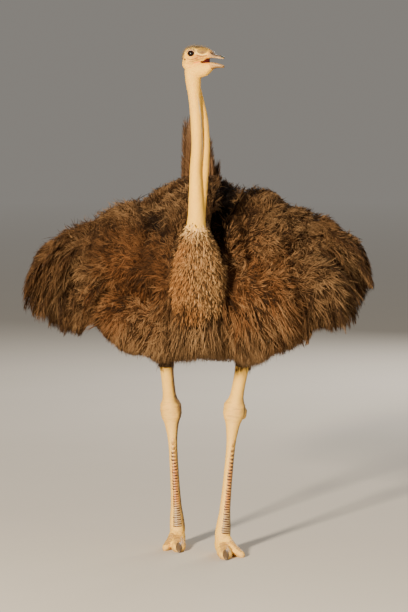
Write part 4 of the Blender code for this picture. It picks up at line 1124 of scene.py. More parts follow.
# Lines, how far the skin stands out or sinks along each, and how wide that is
RELIEF = (
    (LORE_RIDGE, 0.0022, 0.0024),
    (UNDER_RIDGE, -0.0011, 0.0014),
    (EYE_FOLD, -0.0010, 0.0011),
    (CHEEK_FOLD, -0.0008, 0.0012),
    (GAPE_LINE, -0.0012, 0.0012),
    (MOUTH_FOLD, -0.0009, 0.0013),
    (tuple((ahead, height + 0.0032) for ahead, height in EYE_FOLD), 0.0007, 0.0016),
    (LOWER_LIP, 0.0010, 0.0018),
    (UPPER_LIP, 0.0008, 0.0016),
)


def head_place(ahead, out, height):
    """Points of the head from places ahead of the eye, out to the bird's right, and up."""
    ahead, out, height = (np.asarray(v, float)[..., None] for v in (ahead, out, height))
    return HEAD_CENTRE + FACING * ahead + RIGHT * out + UP * height


def head_grid(rows, count, sides, square=1.0):
    """Rings square to the head's length."""
    rows = smooth_rows(rows, count)
    turn = full_turn(sides)[None, :]
    wide = np.sign(np.cos(turn)) * np.abs(np.cos(turn)) ** square * rows[:, 1:2]
    middle = (rows[:, 2:3] + rows[:, 3:4]) / 2
    tall = (rows[:, 3:4] - rows[:, 2:3]) / 2
    return head_place(rows[:, 0:1] + 0 * turn, wide, middle + tall * np.sin(turn))


def head_measures(points):
    """Places ahead of the eye, out to the right, and heights of points."""
    away = points - HEAD_CENTRE
    return away @ FACING, away @ RIGHT, away @ UP


def head_unwrap(points):
    """The unwrap of head and neck: the turn round them, and the way up."""
    return wrapped(points, 2, HEAD_CENTRE, 1.15, 1.88)


def by_line(face, line, width):
    """1 on a line of the face, falling off over this width, at these places ahead and heights."""
    spot = np.stack(face, 1)
    best = np.full(len(spot), 1.0)
    for a, b in zip(np.array(line), np.array(line[1:])):
        share = np.clip(((spot - a) @ (b - a)) / ((b - a) @ (b - a)), 0, 1)
        best = np.minimum(best, np.linalg.norm(spot - a - share[:, None] * (b - a), axis=1))
    return soft_spot(best / width)


def eye_frame(side):
    """The eye's middle, the way it looks, and the ways to its front corner and up."""
    gaze = FACING * math.sin(EYE_LOOKS_AHEAD) + RIGHT * side * math.cos(EYE_LOOKS_AHEAD)
    centre = head_place(0.0, side * EYE_OUT, 0.0)
    front = unit(FACING - gaze * (FACING @ gaze))
    return centre, gaze, front


head_parts = [
    loft("skull", head_grid(SKULL, 60, 56)),
    loft("jaw", head_grid(JAW, 50, 48)),
    loft("column", limb_grid(NECK, 120, 48)),
    loft("gullet", limb_grid(GULLET, 100, 36)),
    ball("nape", head_place(-0.0170, 0.0, -0.0360), (0.0285, 0.0285, 0.0260), 44, 32),
]
for side in (1.0, -1.0):
    centre, gaze, front = eye_frame(side)
    head_parts.append(ball("lid_ball", centre, (EYE_RADIUS + 0.0020,) * 3, 40, 28))
    brow = head_place(0.002, side * 0.0262, 0.0085)
    head_parts.append(ball("brow", brow, (0.0135, 0.0135, 0.0105), 32, 20))
    ear_rim = head_place(EAR[0], side * 0.0285, EAR[1])
    head_parts.append(ball("ear_rim", ear_rim, (0.0075, 0.0075, 0.0085), 24, 16))
head_skin = one_skin("head_skin", head_parts, HEAD_VOXEL, 5)
# The long plain neck needs fewer faces than the head
neck_group = head_skin.vertex_groups.new(name="neck")
neck_group.add(np.flatnonzero(mesh_points(head_skin)[:, 2] < 1.735).tolist(), 1.0, "REPLACE")
thinner = head_skin.modifiers.new("thinner", "DECIMATE")
thinner.ratio = 0.55
thinner.vertex_group = "neck"
settled(head_skin)

points, normals = mesh_points(head_skin), mesh_normals(head_skin)
ahead, out_right, height = head_measures(points)
on_head = share_between(height, -0.10, -0.085)
flank = share_between(np.abs(out_right), 0.006, 0.014) * on_head
rise = sum(high * by_line((ahead, height), line, wide) for line, high, wide in RELIEF)
lid_level = np.hypot(ahead / 0.0205, (height - 0.0005) / 0.0180)
rise -= 0.0008 * soft_spot((lid_level - 1.0) / 0.055) * (height > -0.012)
hollow = soft_spot((ahead - LORE_HOLLOW[0]) / 0.009, (height - LORE_HOLLOW[1]) / 0.0055)
ear = soft_spot(np.hypot((ahead - EAR[0]) / 0.0036, (height - EAR[1]) / 0.0046) ** 2)
rise = (rise - LORE_DEPTH * hollow - EAR_DEPTH * ear) * flank
# Soft rings and lumps of the windpipe under the neck's skin, and finer ones of the skin
below = share_between(-height, 0.10, 0.20)
for share, high, stretch, size, seed in (
    (below, 0.0011, 0.35, 0.012, 21),
    (below, 0.0006, 2.2, 0.010, 22),
    (1 - below, 0.0009, 1.8, 0.0065, 23),
    (1.0, 0.0007, 1.5, 0.0036, 24),
):
    rise += share * high * (value_noise(points * (1.0, 1.0, stretch), size, seed) - 0.5)
points = points + normals * rise[:, None]
for side in (1.0, -1.0):
    centre, gaze, front = eye_frame(side)
    away = points - centre
    far = np.linalg.norm(away, axis=1)
    level = np.hypot(away @ front / LID_OPENING[0], away @ UP / LID_OPENING[1])
    inside = (away @ gaze > 0) * (far < SOCKET_REACH) * (1 - share_between(level, 0.94, 1.08))
    points = points - away * (inside * (1 - SOCKET_RADIUS / np.maximum(far, 1e-6)))[:, None]
put_points(head_skin, points)

ahead, out_right, height = head_measures(points)
face = (ahead, height)
crown = share_between(height - 0.10 * np.abs(ahead - 0.004), 0.0120, 0.0190)
lore = np.hypot((ahead - 0.040) / 0.0200, (height - 0.0085) / 0.0115)
# The hollow before the eye is painted a little darker, as shade
crown = np.maximum(crown, (1 - share_between(lore, 0.75, 1.10)) * (0.75 + 0.25 * hollow))
crown = np.maximum(crown, share_between(-ahead, 0.024, 0.034) * share_between(height, -0.010, 0.004))
ring = soft_spot((np.hypot(ahead / 0.0185, (height - 0.002) / 0.0165) - 1.0) / 0.16)
patchy_skin = value_noise(points, 0.009, 27)
pink = by_line(face, GAPE_LINE, 0.0024) + by_line(face, LOWER_LIP, 0.0022)
pink = pink + 0.35 * patchy_skin * by_line(face, EYE_FOLD, 0.0050)
# Painted shade along the folds under the eye and round the cheek and mouth, and in the hollow before the eye
fold = 1.7 * by_line(face, UNDER_RIDGE, 0.0018) + 1.3 * by_line(face, EYE_FOLD, 0.0017)
fold = fold + by_line(face, CHEEK_FOLD, 0.0015) + 1.1 * by_line(face, MOUTH_FOLD, 0.0017)
pale = np.clip(by_line(face, LORE_RIDGE, 0.0024) + ring * (height > -0.004), 0, 1) * flank
above = height - np.interp(ahead, *MOUTH_TOP)
inner = share_between(height - np.interp(ahead, *MOUTH_BOTTOM), -0.0006, 0.0008) * (ahead > 0.033)
warm = 0.55 * soft_spot((ahead - 0.010) / 0.036, (height + 0.008) / 0.026)
warm = warm + 1.1 * soft_spot((ahead - 0.026) / 0.017, (height + 0.0110) / 0.0070)
x, y, z = points.T
vein = soft_spot((x - np.interp(z, *VEIN)) / 0.0022) * within(z, 1.44, 1.52, 1.66, 1.72)
put_masks(
    head_skin,
    crown=crown * on_head * (1 - 0.8 * pale),
    mouth=inner * (1 - share_between(above, -0.0008, 0.0006)),
    pink=np.clip(pink, 0, 1) * flank,
    warm=np.clip(warm * flank * (0.45 + 0.9 * value_noise(points, 0.006, 25)), 0, 1),
    fold=np.clip(fold * (0.25 + 0.9 * patchy_skin) + 0.5 * hollow, 0, 1) * flank,
    pale=pale,
    # Painted shade in the ear openings
    hole=np.clip(ear * flank * 1.3, 0, 1),
    vein=vein * (y < -0.46),
)

CREAM_SKIN = (0.85, 0.475, 0.038)
DEEP_CREAM = (0.74, 0.42, 0.070)
TAN_BLOTCH = (0.64, 0.31, 0.085)
skin_finish = Finish(
    "cream_skin",
    Roughness=0.70,
    Specular_IOR_Level=0.25,
    Subsurface_Weight=0.10,
    Subsurface_Scale=0.004,
    Subsurface_Radius=(1.0, 0.45, 0.25),
)
base = skin_finish.blend(skin_finish.noise(38.0) * 0.55, CREAM_SKIN, DEEP_CREAM)
blotches = skin_finish.held(skin_finish.noise(110.0) * 2.4 - 1.0)
base = skin_finish.blend(blotches * 0.45, base, TAN_BLOTCH)
base = skin_finish.layers(
    base,
    warm=(0.85, (0.50, 0.205, 0.028)),
    vein=(0.65, (0.42, 0.42, 0.40)),
    pink=(0.8, (0.74, 0.205, 0.022)),
    crown=(0.95, (0.110, 0.074, 0.033)),
    pale=(0.80, (0.94, 0.62, 0.17)),
    # Painted shade in the folds and the hollow before the eye
    fold=(0.85, (0.150, 0.048, 0.016)),
    # Painted shade in the ear openings
    hole=(1.0, (0.05, 0.02, 0.015)),
    mouth=(1.0, (0.070, 0.004, 0.0022)),
)
skin_finish.feed(Base_Color=base)
skin_finish.bump(skin_finish.noise(900.0, 2.0) * 0.5 + skin_finish.noise(260.0, 2.0), 0.0007, 0.7)
shown(head_skin, skin_finish, "bare_skin", "head", "neck_upper", "neck_lower")

# Lid edges: on each eye a thicker upper and a thinner lower rim of damp, darker skin, lying on the
# eyeball, with short curved lashes along the upper one.

LID_STEPS = 72
LID_BEAD_STEPS = 10
LASH_ROOT_RADIUS = 0.0182
LASH_WIDTH = 0.0006
LASHES = 24
lid_finish = Finish("lid_edges", Roughness=0.42)
lid_finish.feed(Base_Color=lid_finish.blend(lid_finish.noise(700.0), (0.30, 0.15, 0.09), (0.48, 0.29, 0.17)))
lash_finish = Finish("dark_lashes", Roughness=0.5)
lash_colour = lash_finish.blend(lash_finish.mask("tone"), (0.02, 0.013, 0.009), (0.06, 0.04, 0.03))
lash_finish.feed(Base_Color=lash_colour)


def round_the_eye(side, wide, tall, radius):
    """Points of a ball about the eye, at places ahead of and above the middle of its gaze."""
    centre, gaze, front = eye_frame(side)
    flat = front * wide[:, None] + UP * tall[:, None]
    return centre + flat + gaze * np.sqrt(radius**2 - np.sum(flat**2, axis=1))[:, None]


for side, hand in ((1.0, "right"), (-1.0, "left")):
    centre, gaze, front = eye_frame(side)
    turn = full_turn(LID_STEPS)
    wide = (LID_OPENING[0] + 0.0004) * np.cos(turn)
    tall = (LID_OPENING[1] + 0.0003) * np.sin(turn) * np.abs(np.sin(turn)) ** 0.12
    middle = round_the_eye(side, wide, tall, EYE_RADIUS + 0.0003)
    outward = unit(middle - centre)
    around = unit(np.roll(middle, -1, axis=0) - np.roll(middle, 1, axis=0))
    square = np.cross(around, outward)[:, None]
    thick = (0.00125 + 0.00075 * share_between(np.sin(turn), -0.1, 0.7))[:, None, None]
    bead = full_turn(LID_BEAD_STEPS)[None, :, None]
    rings = middle[:, None] + thick * (outward[:, None] * np.cos(bead) + square * np.sin(bead))
    # The last ring joins the first
    faces = np.array(ring_quads(LID_STEPS + 1, LID_BEAD_STEPS)) % (LID_STEPS * LID_BEAD_STEPS)
    shown(plain_mesh("lid_edge_" + hand, rings.reshape(-1, 3), faces.tolist()), lid_finish, "bare_skin")
    spots = np.linspace(0.22, np.pi - 0.22, LASHES) + draw.normal(0, 0.02, LASHES)
    wide, tall = LID_OPENING[0] * np.cos(spots), LID_OPENING[1] * np.sin(spots)
    roots = round_the_eye(side, wide, tall, LASH_ROOT_RADIUS)
    way = unit(roots - centre) + UP * 0.2 + front * (np.cos(spots) * 0.5)[:, None]
    way = unit(way + draw.normal(0, 0.06, (LASHES, 3)))
    masks = {"tone": draw.random(LASHES)}
    length, width = draw.uniform(0.006, 0.009, LASHES), np.full(LASHES, LASH_WIDTH)
    face, bend = np.tile(gaze, (LASHES, 1)), np.tile(UP * 0.5, (LASHES, 1))
    patch = head_unwrap(roots)
    lashes = strands("lashes_" + hand, roots, way, face, length, width, bend, masks, patch)
    shown(lashes, lash_finish, "bare_skin")

# Eyes: very large dark brown eyeballs of wet glassy tissue, clear over a brown iris and a wide
# black pupil, and held in the head by the lids.

eye_finish = Finish(
    "wet_dark_eye", Roughness=0.30, Specular_IOR_Level=0.12, Coat_Weight=0.05, Coat_Roughness=0.08
)
iris = eye_finish.blend(eye_finish.noise(500.0), (0.010, 0.003, 0.002), (0.032, 0.009, 0.004))
iris = eye_finish.layers(iris, pupil=(1.0, (0.002, 0.0015, 0.0015)), rim=(1.0, (0.012, 0.006, 0.004)))
eye_finish.feed(Base_Color=iris)
for side, hand in ((1.0, "right"), (-1.0, "left")):
    centre, gaze, front = eye_frame(side)
    eyeball = ball("eyeball_" + hand, centre, (EYE_RADIUS,) * 3, 64, 48)
    away = mesh_points(eyeball) - centre
    tilt = np.degrees(np.arccos(np.clip((away @ gaze) / EYE_RADIUS, -1, 1)))
    # The cornea bulges a little over the iris
    away = away * (1 + 0.035 * share_between(-tilt, -42, -8))[:, None]
    put_points(eyeball, centre + away)
    put_masks(eyeball, pupil=share_between(-tilt, -29, -25), rim=share_between(tilt, 38, 46))
    shown(eyeball, eye_finish, "eye", "eye_" + hand)

# Bill: a broad flat upper half with a raised, nail-ended ridge and slit nostrils, and a thinner lower half,
# both of worn horn with a thin dark rim, which on the lower half is painted shade along its groove and lower
# edge, roofed and floored with soft dark-red skin. The nostrils are darkened with painted shade too.

UPPER_BILL = (
    (0.048, 0.0160, -0.0180, 0.0140),
    (0.055, 0.0186, -0.0174, 0.0144),
    (0.062, 0.0206, -0.0166, 0.0126),
    (0.068, 0.0210, -0.0160, 0.0102),
    (0.073, 0.0207, -0.0158, 0.0066),
    (0.078, 0.0200, -0.0160, 0.0010),
    (0.084, 0.0192, -0.0161, -0.0038),
    (0.092, 0.0180, -0.0164, -0.0058),
    (0.099, 0.0164, -0.0170, -0.0066),
    (0.105, 0.0143, -0.0178, -0.0078),
    (0.1095, 0.0115, -0.0186, -0.0094),
    (0.1128, 0.0080, -0.0190, -0.0110),
    (0.1147, 0.0040, -0.0184, -0.0130),
)
LOWER_BILL = (
    (0.052, 0.0120, -0.0640, -0.0318),
    (0.060, 0.0155, -0.0610, -0.0316),
    (0.067, 0.0186, -0.0578, -0.0320),
    (0.074, 0.0187, -0.0550, -0.0332),
    (0.082, 0.0178, -0.0525, -0.0350),
    (0.092, 0.0167, -0.0510, -0.0374),
    (0.100, 0.0150, -0.0507, -0.0394),
    (0.106, 0.0128, -0.0508, -0.0410),
    (0.110, 0.0098, -0.0509, -0.0425),
    (0.1130, 0.0065, -0.0505, -0.0440),
    (0.1147, 0.0030, -0.0492, -0.0456),
)
# Place ahead of the eye and height of the nostrils
NOSTRIL = (0.0735, 0.0020)
# Places ahead, and heights of the seam along the upper half and of the lower half's brim
SEAM = ((0.060, 0.080, 0.095, 0.108), (-0.0020, -0.0085, -0.0108, -0.0130))
BRIM = ((0.060, 0.074, 0.092, 0.106), (-0.0395, -0.0410, -0.0440, -0.0460))
# How deep the halves are hollowed on the sides that face the mouth
PALATE_DEPTH = 0.0045
FLOOR_DEPTH = 0.0050
# Places ahead, and half widths of the palate
PALATE = ((0.05, 0.09, 0.115), (0.022, 0.017, 0.003))


def bill_grid(rows, count, sides, hollow, hollow_side):
    """Rings of one half of the bill, hollowed on the side that faces the mouth."""
    rows = smooth_rows(rows, count)
    turn = full_turn(sides)[None, :]
    wide = rows[:, 1:2] * np.sign(np.cos(turn)) * np.abs(np.cos(turn)) ** 0.9
    middle = (rows[:, 2:3] + rows[:, 3:4]) / 2
    tall = (rows[:, 3:4] - rows[:, 2:3]) / 2
    level = np.sin(turn)
    facing_mouth = level * hollow_side > 0
    shelf = np.sign(level) * np.minimum(1.0, 3.0 * np.abs(level))
    dip = hollow * rows[:, 1:2] / 0.020 * (1 - np.cos(turn) ** 2) ** 1.5 * hollow_side
    up = middle + tall * np.where(facing_mouth, shelf, level) - np.where(facing_mouth, dip, 0.0)
    return head_place(rows[:, 0:1] + 0 * turn, wide, up)


bill_finish = Finish("worn_horn", Roughness=0.55, Specular_IOR_Level=0.2)
root_skin = bill_finish.blend(bill_finish.noise(110.0), (0.62, 0.31, 0.045), (0.42, 0.20, 0.045))
base = bill_finish.blend(bill_finish.noise(180.0, 4.0), (0.215, 0.115, 0.040), (0.33, 0.190, 0.070))
base = bill_finish.layers(
    base,
    culmen=(0.9, (0.125, 0.085, 0.058)),
    edge=(1.0, (0.52, 0.32, 0.125)),
    root=(1.0, root_skin),
    tip=(1.0, (0.035, 0.060, 0.060)),
    gum=(1.0, (0.160, 0.012, 0.007)),
    # Painted shade in the nostrils and along the lower half's groove and lower edge
    hole=(1.0, (0.035, 0.020, 0.015)),
)
bill_finish.feed(Base_Color=base)
bill_finish.bump(bill_finish.noise(420.0), 0.0005, 0.6)

upper_bill = loft("bill_upper", bill_grid(UPPER_BILL, 90, 72, PALATE_DEPTH, -1.0))
points, normals = mesh_points(upper_bill), mesh_normals(upper_bill)
ahead, out_right, height = head_measures(points)
past = ahead - NOSTRIL[0]
nostril = np.hypot(past / 0.0050, (height - NOSTRIL[1] + 0.7 * past) / 0.0020)
nostril = soft_spot(nostril**2) * (np.abs(out_right) > 0.005)
seam_height = np.interp(ahead, *SEAM)
seam = soft_spot((height - seam_height) / 0.0009) * share_between(ahead, 0.058, 0.066)
nail = soft_spot((ahead - 0.0985 - 0.5 * np.abs(out_right)) / 0.0012) * (height > -0.012)
points = points - normals * (0.0032 * nostril + 0.0006 * seam + 0.0004 * nail)[:, None]
put_points(upper_bill, points)
on_palate = np.abs(out_right) < 0.9 * np.interp(ahead, *PALATE)
under = share_between(-normals[:, 2], 0.35, 0.75) * on_palate
ragged = 0.006 * (value_noise(points, 0.006, 26) - 0.5)
put_masks(
    upper_bill,
    root=1 - share_between(ahead + ragged, 0.059, 0.078),
    gum=under * (1 - share_between(ahead, 0.084, 0.100)),
    # Painted shade in the nostril slits
    hole=np.clip(nostril * 1.2, 0, 1),
    culmen=share_between(height - seam_height, -0.002, 0.003),
    edge=share_between(seam_height - height, 0.001, 0.004) * share_between(ahead, 0.085, 0.100),
    tip=share_between(ahead, 0.1055, 0.1095) * share_between(height, -0.0165, -0.0135),
)
shown(upper_bill, bill_finish, "bill_horn", "beak_upper")

lower_bill = loft("bill_lower", bill_grid(LOWER_BILL, 80, 72, FLOOR_DEPTH, 1.0))
points, normals = mesh_points(lower_bill), mesh_normals(lower_bill)
ahead, out_right, height = head_measures(points)
brim = np.interp(ahead, *BRIM)
groove = soft_spot((height - brim) / 0.0008) * share_between(ahead, 0.058, 0.066)
put_points(lower_bill, points - normals * (0.0006 * groove)[:, None])
ragged = 0.008 * (value_noise(points, 0.006, 26) - 0.5)
# Painted shade along the lower half's groove and under its lower edge
shade = np.clip(groove + share_between(-height, 0.0492, 0.0505), 0, 1)
put_masks(
    lower_bill,
    root=1 - share_between(ahead + ragged, 0.067, 0.092),
    gum=0.5 * share_between(normals[:, 2], 0.30, 0.70) * (1 - share_between(ahead, 0.066, 0.080)),
    hole=0.55 * shade * (ahead > 0.07),
    culmen=0.0,
    edge=share_between(height - brim, 0.001, 0.003) * 0.7,
    tip=0.0,
)
shown(lower_bill, bill_finish, "bill_horn", "beak_lower")

# Inside the open mouth: the soft dark-red lining of the cheeks, stretched between the two halves
# of the bill, and a short, blunt pink tongue that grows from the floor of the mouth.

LINING = (
    (0.026, 0.0120, -0.0345, -0.0270),
    (0.034, 0.0190, -0.0355, -0.0262),
    (0.040, 0.0160, -0.0385, -0.0220),
    (0.046, 0.0130, -0.0395, -0.0180),
    (0.0510, 0.0095, -0.0395, -0.0160),
    (0.0550, 0.0060, -0.0385, -0.0162),
    (0.0580, 0.0020, -0.0350, -0.0180),
)
TONGUE = (
    (0.046, 0.0080, -0.0420, -0.0345),
    (0.056, 0.0095, -0.0410, -0.0328),
    (0.066, 0.0090, -0.0405, -0.0330),
    (0.073, 0.0062, -0.0405, -0.0345),
    (0.076, 0.0028, -0.0395, -0.0365),
)
mouth_finish = Finish("dark_red_lining", Roughness=0.7, Specular_IOR_Level=0.12)
flesh = mouth_finish.blend(mouth_finish.noise(240.0), (0.018, 0.0010, 0.0008), (0.062, 0.0035, 0.002))
mouth_finish.feed(Base_Color=mouth_finish.layers(flesh, tongue=(1.0, (0.36, 0.120, 0.050))))
mouth_finish.bump(mouth_finish.noise(500.0), 0.0006)
for name, grid, on_tongue in (
    ("mouth_lining", head_grid(LINING, 30, 40), 0.0),
    ("tongue", head_grid(TONGUE, 24, 28), 1.0),
):
    made = loft(name, grid)
    put_masks(made, tongue=on_tongue)
    shown(made, mouth_finish, "bare_skin")

# Down of the head and neck: very short pale bristles that lie along the skin, and longer, dark
# hair-like ones standing up over the crown and round the ears.

COLLAR_LEAVES = 900
COLLAR_LEAF_WIDTH = 0.0052
down_finish = Finish("short_down", Roughness=0.7)
base = down_finish.blend(down_finish.mask("tone"), (0.62, 0.40, 0.110), (0.88, 0.60, 0.195))
down_finish.feed(Base_Color=down_finish.layers(base, crown=(1.0, (0.115, 0.070, 0.030))))


def away_from_eyes(points):
    """0 over the eyes and the mouth, and 1 elsewhere."""
    ahead, out_right, height = head_measures(points)
    eye = np.hypot(ahead / 0.0150, height / 0.0130) > 1.0
    mouth = (ahead > 0.036) * (height < -0.008) * (height > -0.040)
    return eye * (1 - mouth)


def crown_weight(points, normals):
    """Where the dark bristles grow."""
    ahead, out_right, height = head_measures(points)
    return away_from_eyes(points) * share_between(height, 0.010, 0.018) + (ahead < -0.02) * (height > -0.02)


def face_weight(points, normals):
    """Where the short down of the face grows."""
    return away_from_eyes(points) * (points[:, 2] > 1.74)


def neck_weight(points, normals):
    """Where the short down of the neck grows."""
    return (points[:, 2] > 1.19) * (points[:, 2] < 1.76)


def collar_weight(points, normals):
    """Where cream leaf feathers climb the foot of the neck, highest in its middle."""
    top = 1.262 - 0.25 * np.abs(points[:, 0] + 0.012)
    return (points[:, 2] > 1.17) * (points[:, 2] < top)


# Name, count, where they grow, lengths, width, lifts, and heights from which they turn dark
for name, count, weight, lengths, width, lifts, dark_from in (
    ("crown_bristles", 900, crown_weight, (0.006, 0.0125), 0.00055, (0.7, 1.35), (-1.0, -0.9)),
    ("face_down", 3600, face_weight, (0.0022, 0.0042), 0.00036, (0.10, 0.45), (0.008, 0.018)),
    ("neck_down", 8200, neck_weight, (0.0035, 0.0070), 0.00042, (0.08, 0.35), (0.9, 1.0)),
):
    roots, out = skin_samples(head_skin, count, weight, draw)
    height = head_measures(roots)[2]
    face = share_between(height, -0.09, -0.04)[:, None]
    flow = unit(-FACING * face - UP * (1.0 - 0.7 * face) + draw.normal(0, 0.25, (count, 3)))
    lift = draw.uniform(*lifts, count)
    way = lifted(flow, out, lift)
    length = draw.uniform(*lengths, count)
    bend = -out * 0.25 * np.cos(lift)[:, None]
    masks = {"tone": draw.random(count)}
    dark = share_between(height, *dark_from) * (0.9 if name == "crown_bristles" else 1.0)
    masks["crown"] = np.clip(dark + draw.normal(0, 0.15, count), 0, 1)
    patch = head_unwrap(roots)
    made = strands(name, roots - out * 0.0004, way, out, length, np.full(count, width), bend, masks, patch)
    shown(made, down_finish, "bare_skin")
roots, out = skin_samples(head_skin, COLLAR_LEAVES, collar_weight, draw)
collar_length = np.interp(roots[:, 2], (1.18, 1.26), (0.034, 0.014)) * draw.uniform(0.8, 1.2, len(roots))
leaf_coat("collar_feathers", roots, out, collar_length, draw, COLLAR_LEAF_WIDTH)

# Legs, each one skin from the thigh's feathered end down to both toes: cream, finely scaled hide
# over bone, tendons and the knobbed hock, with padded toes whose soles lie flat on the floor.

# Knee, hock and ankle, and how far the big and the small toe are turned, in degrees
LEGS = {
    "right": ((-0.134, 0.010, 0.860), (-0.102, 0.150, 0.516), (-0.0784, 0.126, 0.085), 3.0, -24.0),
    "left": ((0.192, -0.107, 0.860), (0.134, -0.012, 0.534), (0.0925, -0.048, 0.085), 4.0, 40.0),
}
# Share of the way down, half width and half depth above and below the hock
SHANK = (
    (-0.16, 0.052, 0.068),
    (-0.10, 0.049, 0.063),
    (0.20, 0.0425, 0.0550),
    (0.45, 0.0285, 0.0365),
    (0.62, 0.0240, 0.0315),
    (0.80, 0.0245, 0.0325),
    (0.88, 0.0285, 0.0375),
    (0.935, 0.0370, 0.0440),
    (0.985, 0.0398, 0.0460),
    (1.05, 0.0395, 0.0455),
)
SHAFT = (
    (-0.05, 0.0390, 0.0450),
    (0.015, 0.0398, 0.0450),
    (0.065, 0.0365, 0.0415),
    (0.110, 0.0285, 0.0345),
    (0.18, 0.0228, 0.0290),
    (0.32, 0.0174, 0.0240),
    (0.62, 0.0180, 0.0246),
    (0.86, 0.0218, 0.0276),
    (0.96, 0.0268, 0.0326),
    (1.04, 0.0288, 0.0346),
)
# Way ahead of the ankle, half width, height and dip of the big toe, then of the small one
BIG_TOE = (
    (-0.047, 0.012, 0.028, 0.000),
    (-0.041, 0.0225, 0.047, 0.004),
    (-0.022, 0.0295, 0.073, 0.006),
    (0.004, 0.0305, 0.077, 0.006),
    (0.030, 0.0285, 0.057, 0.005),
    (0.052, 0.0265, 0.0435, 0.003),
    (0.074, 0.0285, 0.0425, 0.006),
    (0.096, 0.0255, 0.0335, 0.002),
    (0.114, 0.0255, 0.0335, 0.005),
    (0.130, 0.0195, 0.0265, 0.003),
    (0.140, 0.0100, 0.0175, 0.000),
)
SMALL_TOE = (
    (0.000, 0.0235, 0.0930, 0.004),
    (0.022, 0.0225, 0.0800, 0.004),
    (0.042, 0.0205, 0.0625, 0.003),
    (0.058, 0.0188, 0.0495, 0.002),
    (0.074, 0.0182, 0.0400, 0.004),
    (0.092, 0.0158, 0.0300, 0.002),
    (0.106, 0.0135, 0.0235, 0.003),
    (0.117, 0.0065, 0.0130, 0.000),
)
# Share of the way down the shaft, half width and half depth of the tendon behind it
CORD = (
    (0.02, 0.0115, 0.0130),
    (0.30, 0.0080, 0.0100),
    (0.80, 0.0082, 0.0100),
    (1.0, 0.0120, 0.0130),
)
# The heel of the hock and its side knobs: places off its middle, and radii
HOCK = (
    ((0.0, 0.022, 0.004), (0.024, 0.026, 0.034)),
    ((-0.019, 0.0, -0.004), (0.021, 0.026, 0.027)),
    ((0.019, 0.0, -0.004), (0.021, 0.026, 0.027)),
)
# The same with the corners of the right one, and with the spur of the left one
KNOBS = {
    "right": (
        *HOCK,
        ((-0.0255, -0.004, 0.018), (0.0135, 0.018, 0.0130)),
        ((-0.0255, -0.004, -0.016), (0.0135, 0.018, 0.0130)),
    ),
    "left": (*HOCK, ((0.033, 0.014, -0.012), (0.0145, 0.0190, 0.0270))),
}
# Where the band of painted shade under the coat's edge ends on each shank
BAND_LOW = {"right": 0.6825, "left": 0.6975}
# How far the skin has to face the far side, away from the key lamp, to take painted shade there
SHADED_SIDE = {"right": (0.58, 0.92), "left": (0.84, 0.99)}
# A small dark mark on the right shank
SHANK_MARK = (-0.1055, 0.060, 0.633)
# Places along the big and the small toe where the pads meet
PAD_CREASES = ((0.026, 0.052, 0.086, 0.104), (0.050, 0.072, 0.090))
LEG_VOXEL = 0.0027


def down_leg(top, bottom, sizes):
    """Rows down one length of a leg."""
    top, bottom = np.array(top), np.array(bottom)
    return [(*(top + (bottom - top) * share), wide, deep) for share, wide, deep in sizes]


def toe_axes(turn):
    """The ways ahead and across of a toe turned by this many degrees."""
    turn = math.radians(turn)
    ahead = np.array((math.sin(turn), -math.cos(turn), 0.0))
    return ahead, np.array((-math.cos(turn), -math.sin(turn), 0.0))


def toe_grid(foot, turn, sizes, count, sides):
    """Rings square to a toe that runs ahead of the foot along the floor."""
    ahead, across = toe_axes(turn)
    rows = smooth_rows(sizes, count)
    bead = full_turn(sides)[None, :, None]
    middle = np.array((foot[0], foot[1], 0.0)) + ahead * rows[:, None, 0:1]
    middle = middle + UP * ((rows[:, 2] - rows[:, 3]) / 2)[:, None, None]
    tall = ((rows[:, 2] + rows[:, 3]) / 2)[:, None, None]
    return middle + across * rows[:, None, 1:2] * np.cos(bead) + UP * tall * np.sin(bead)


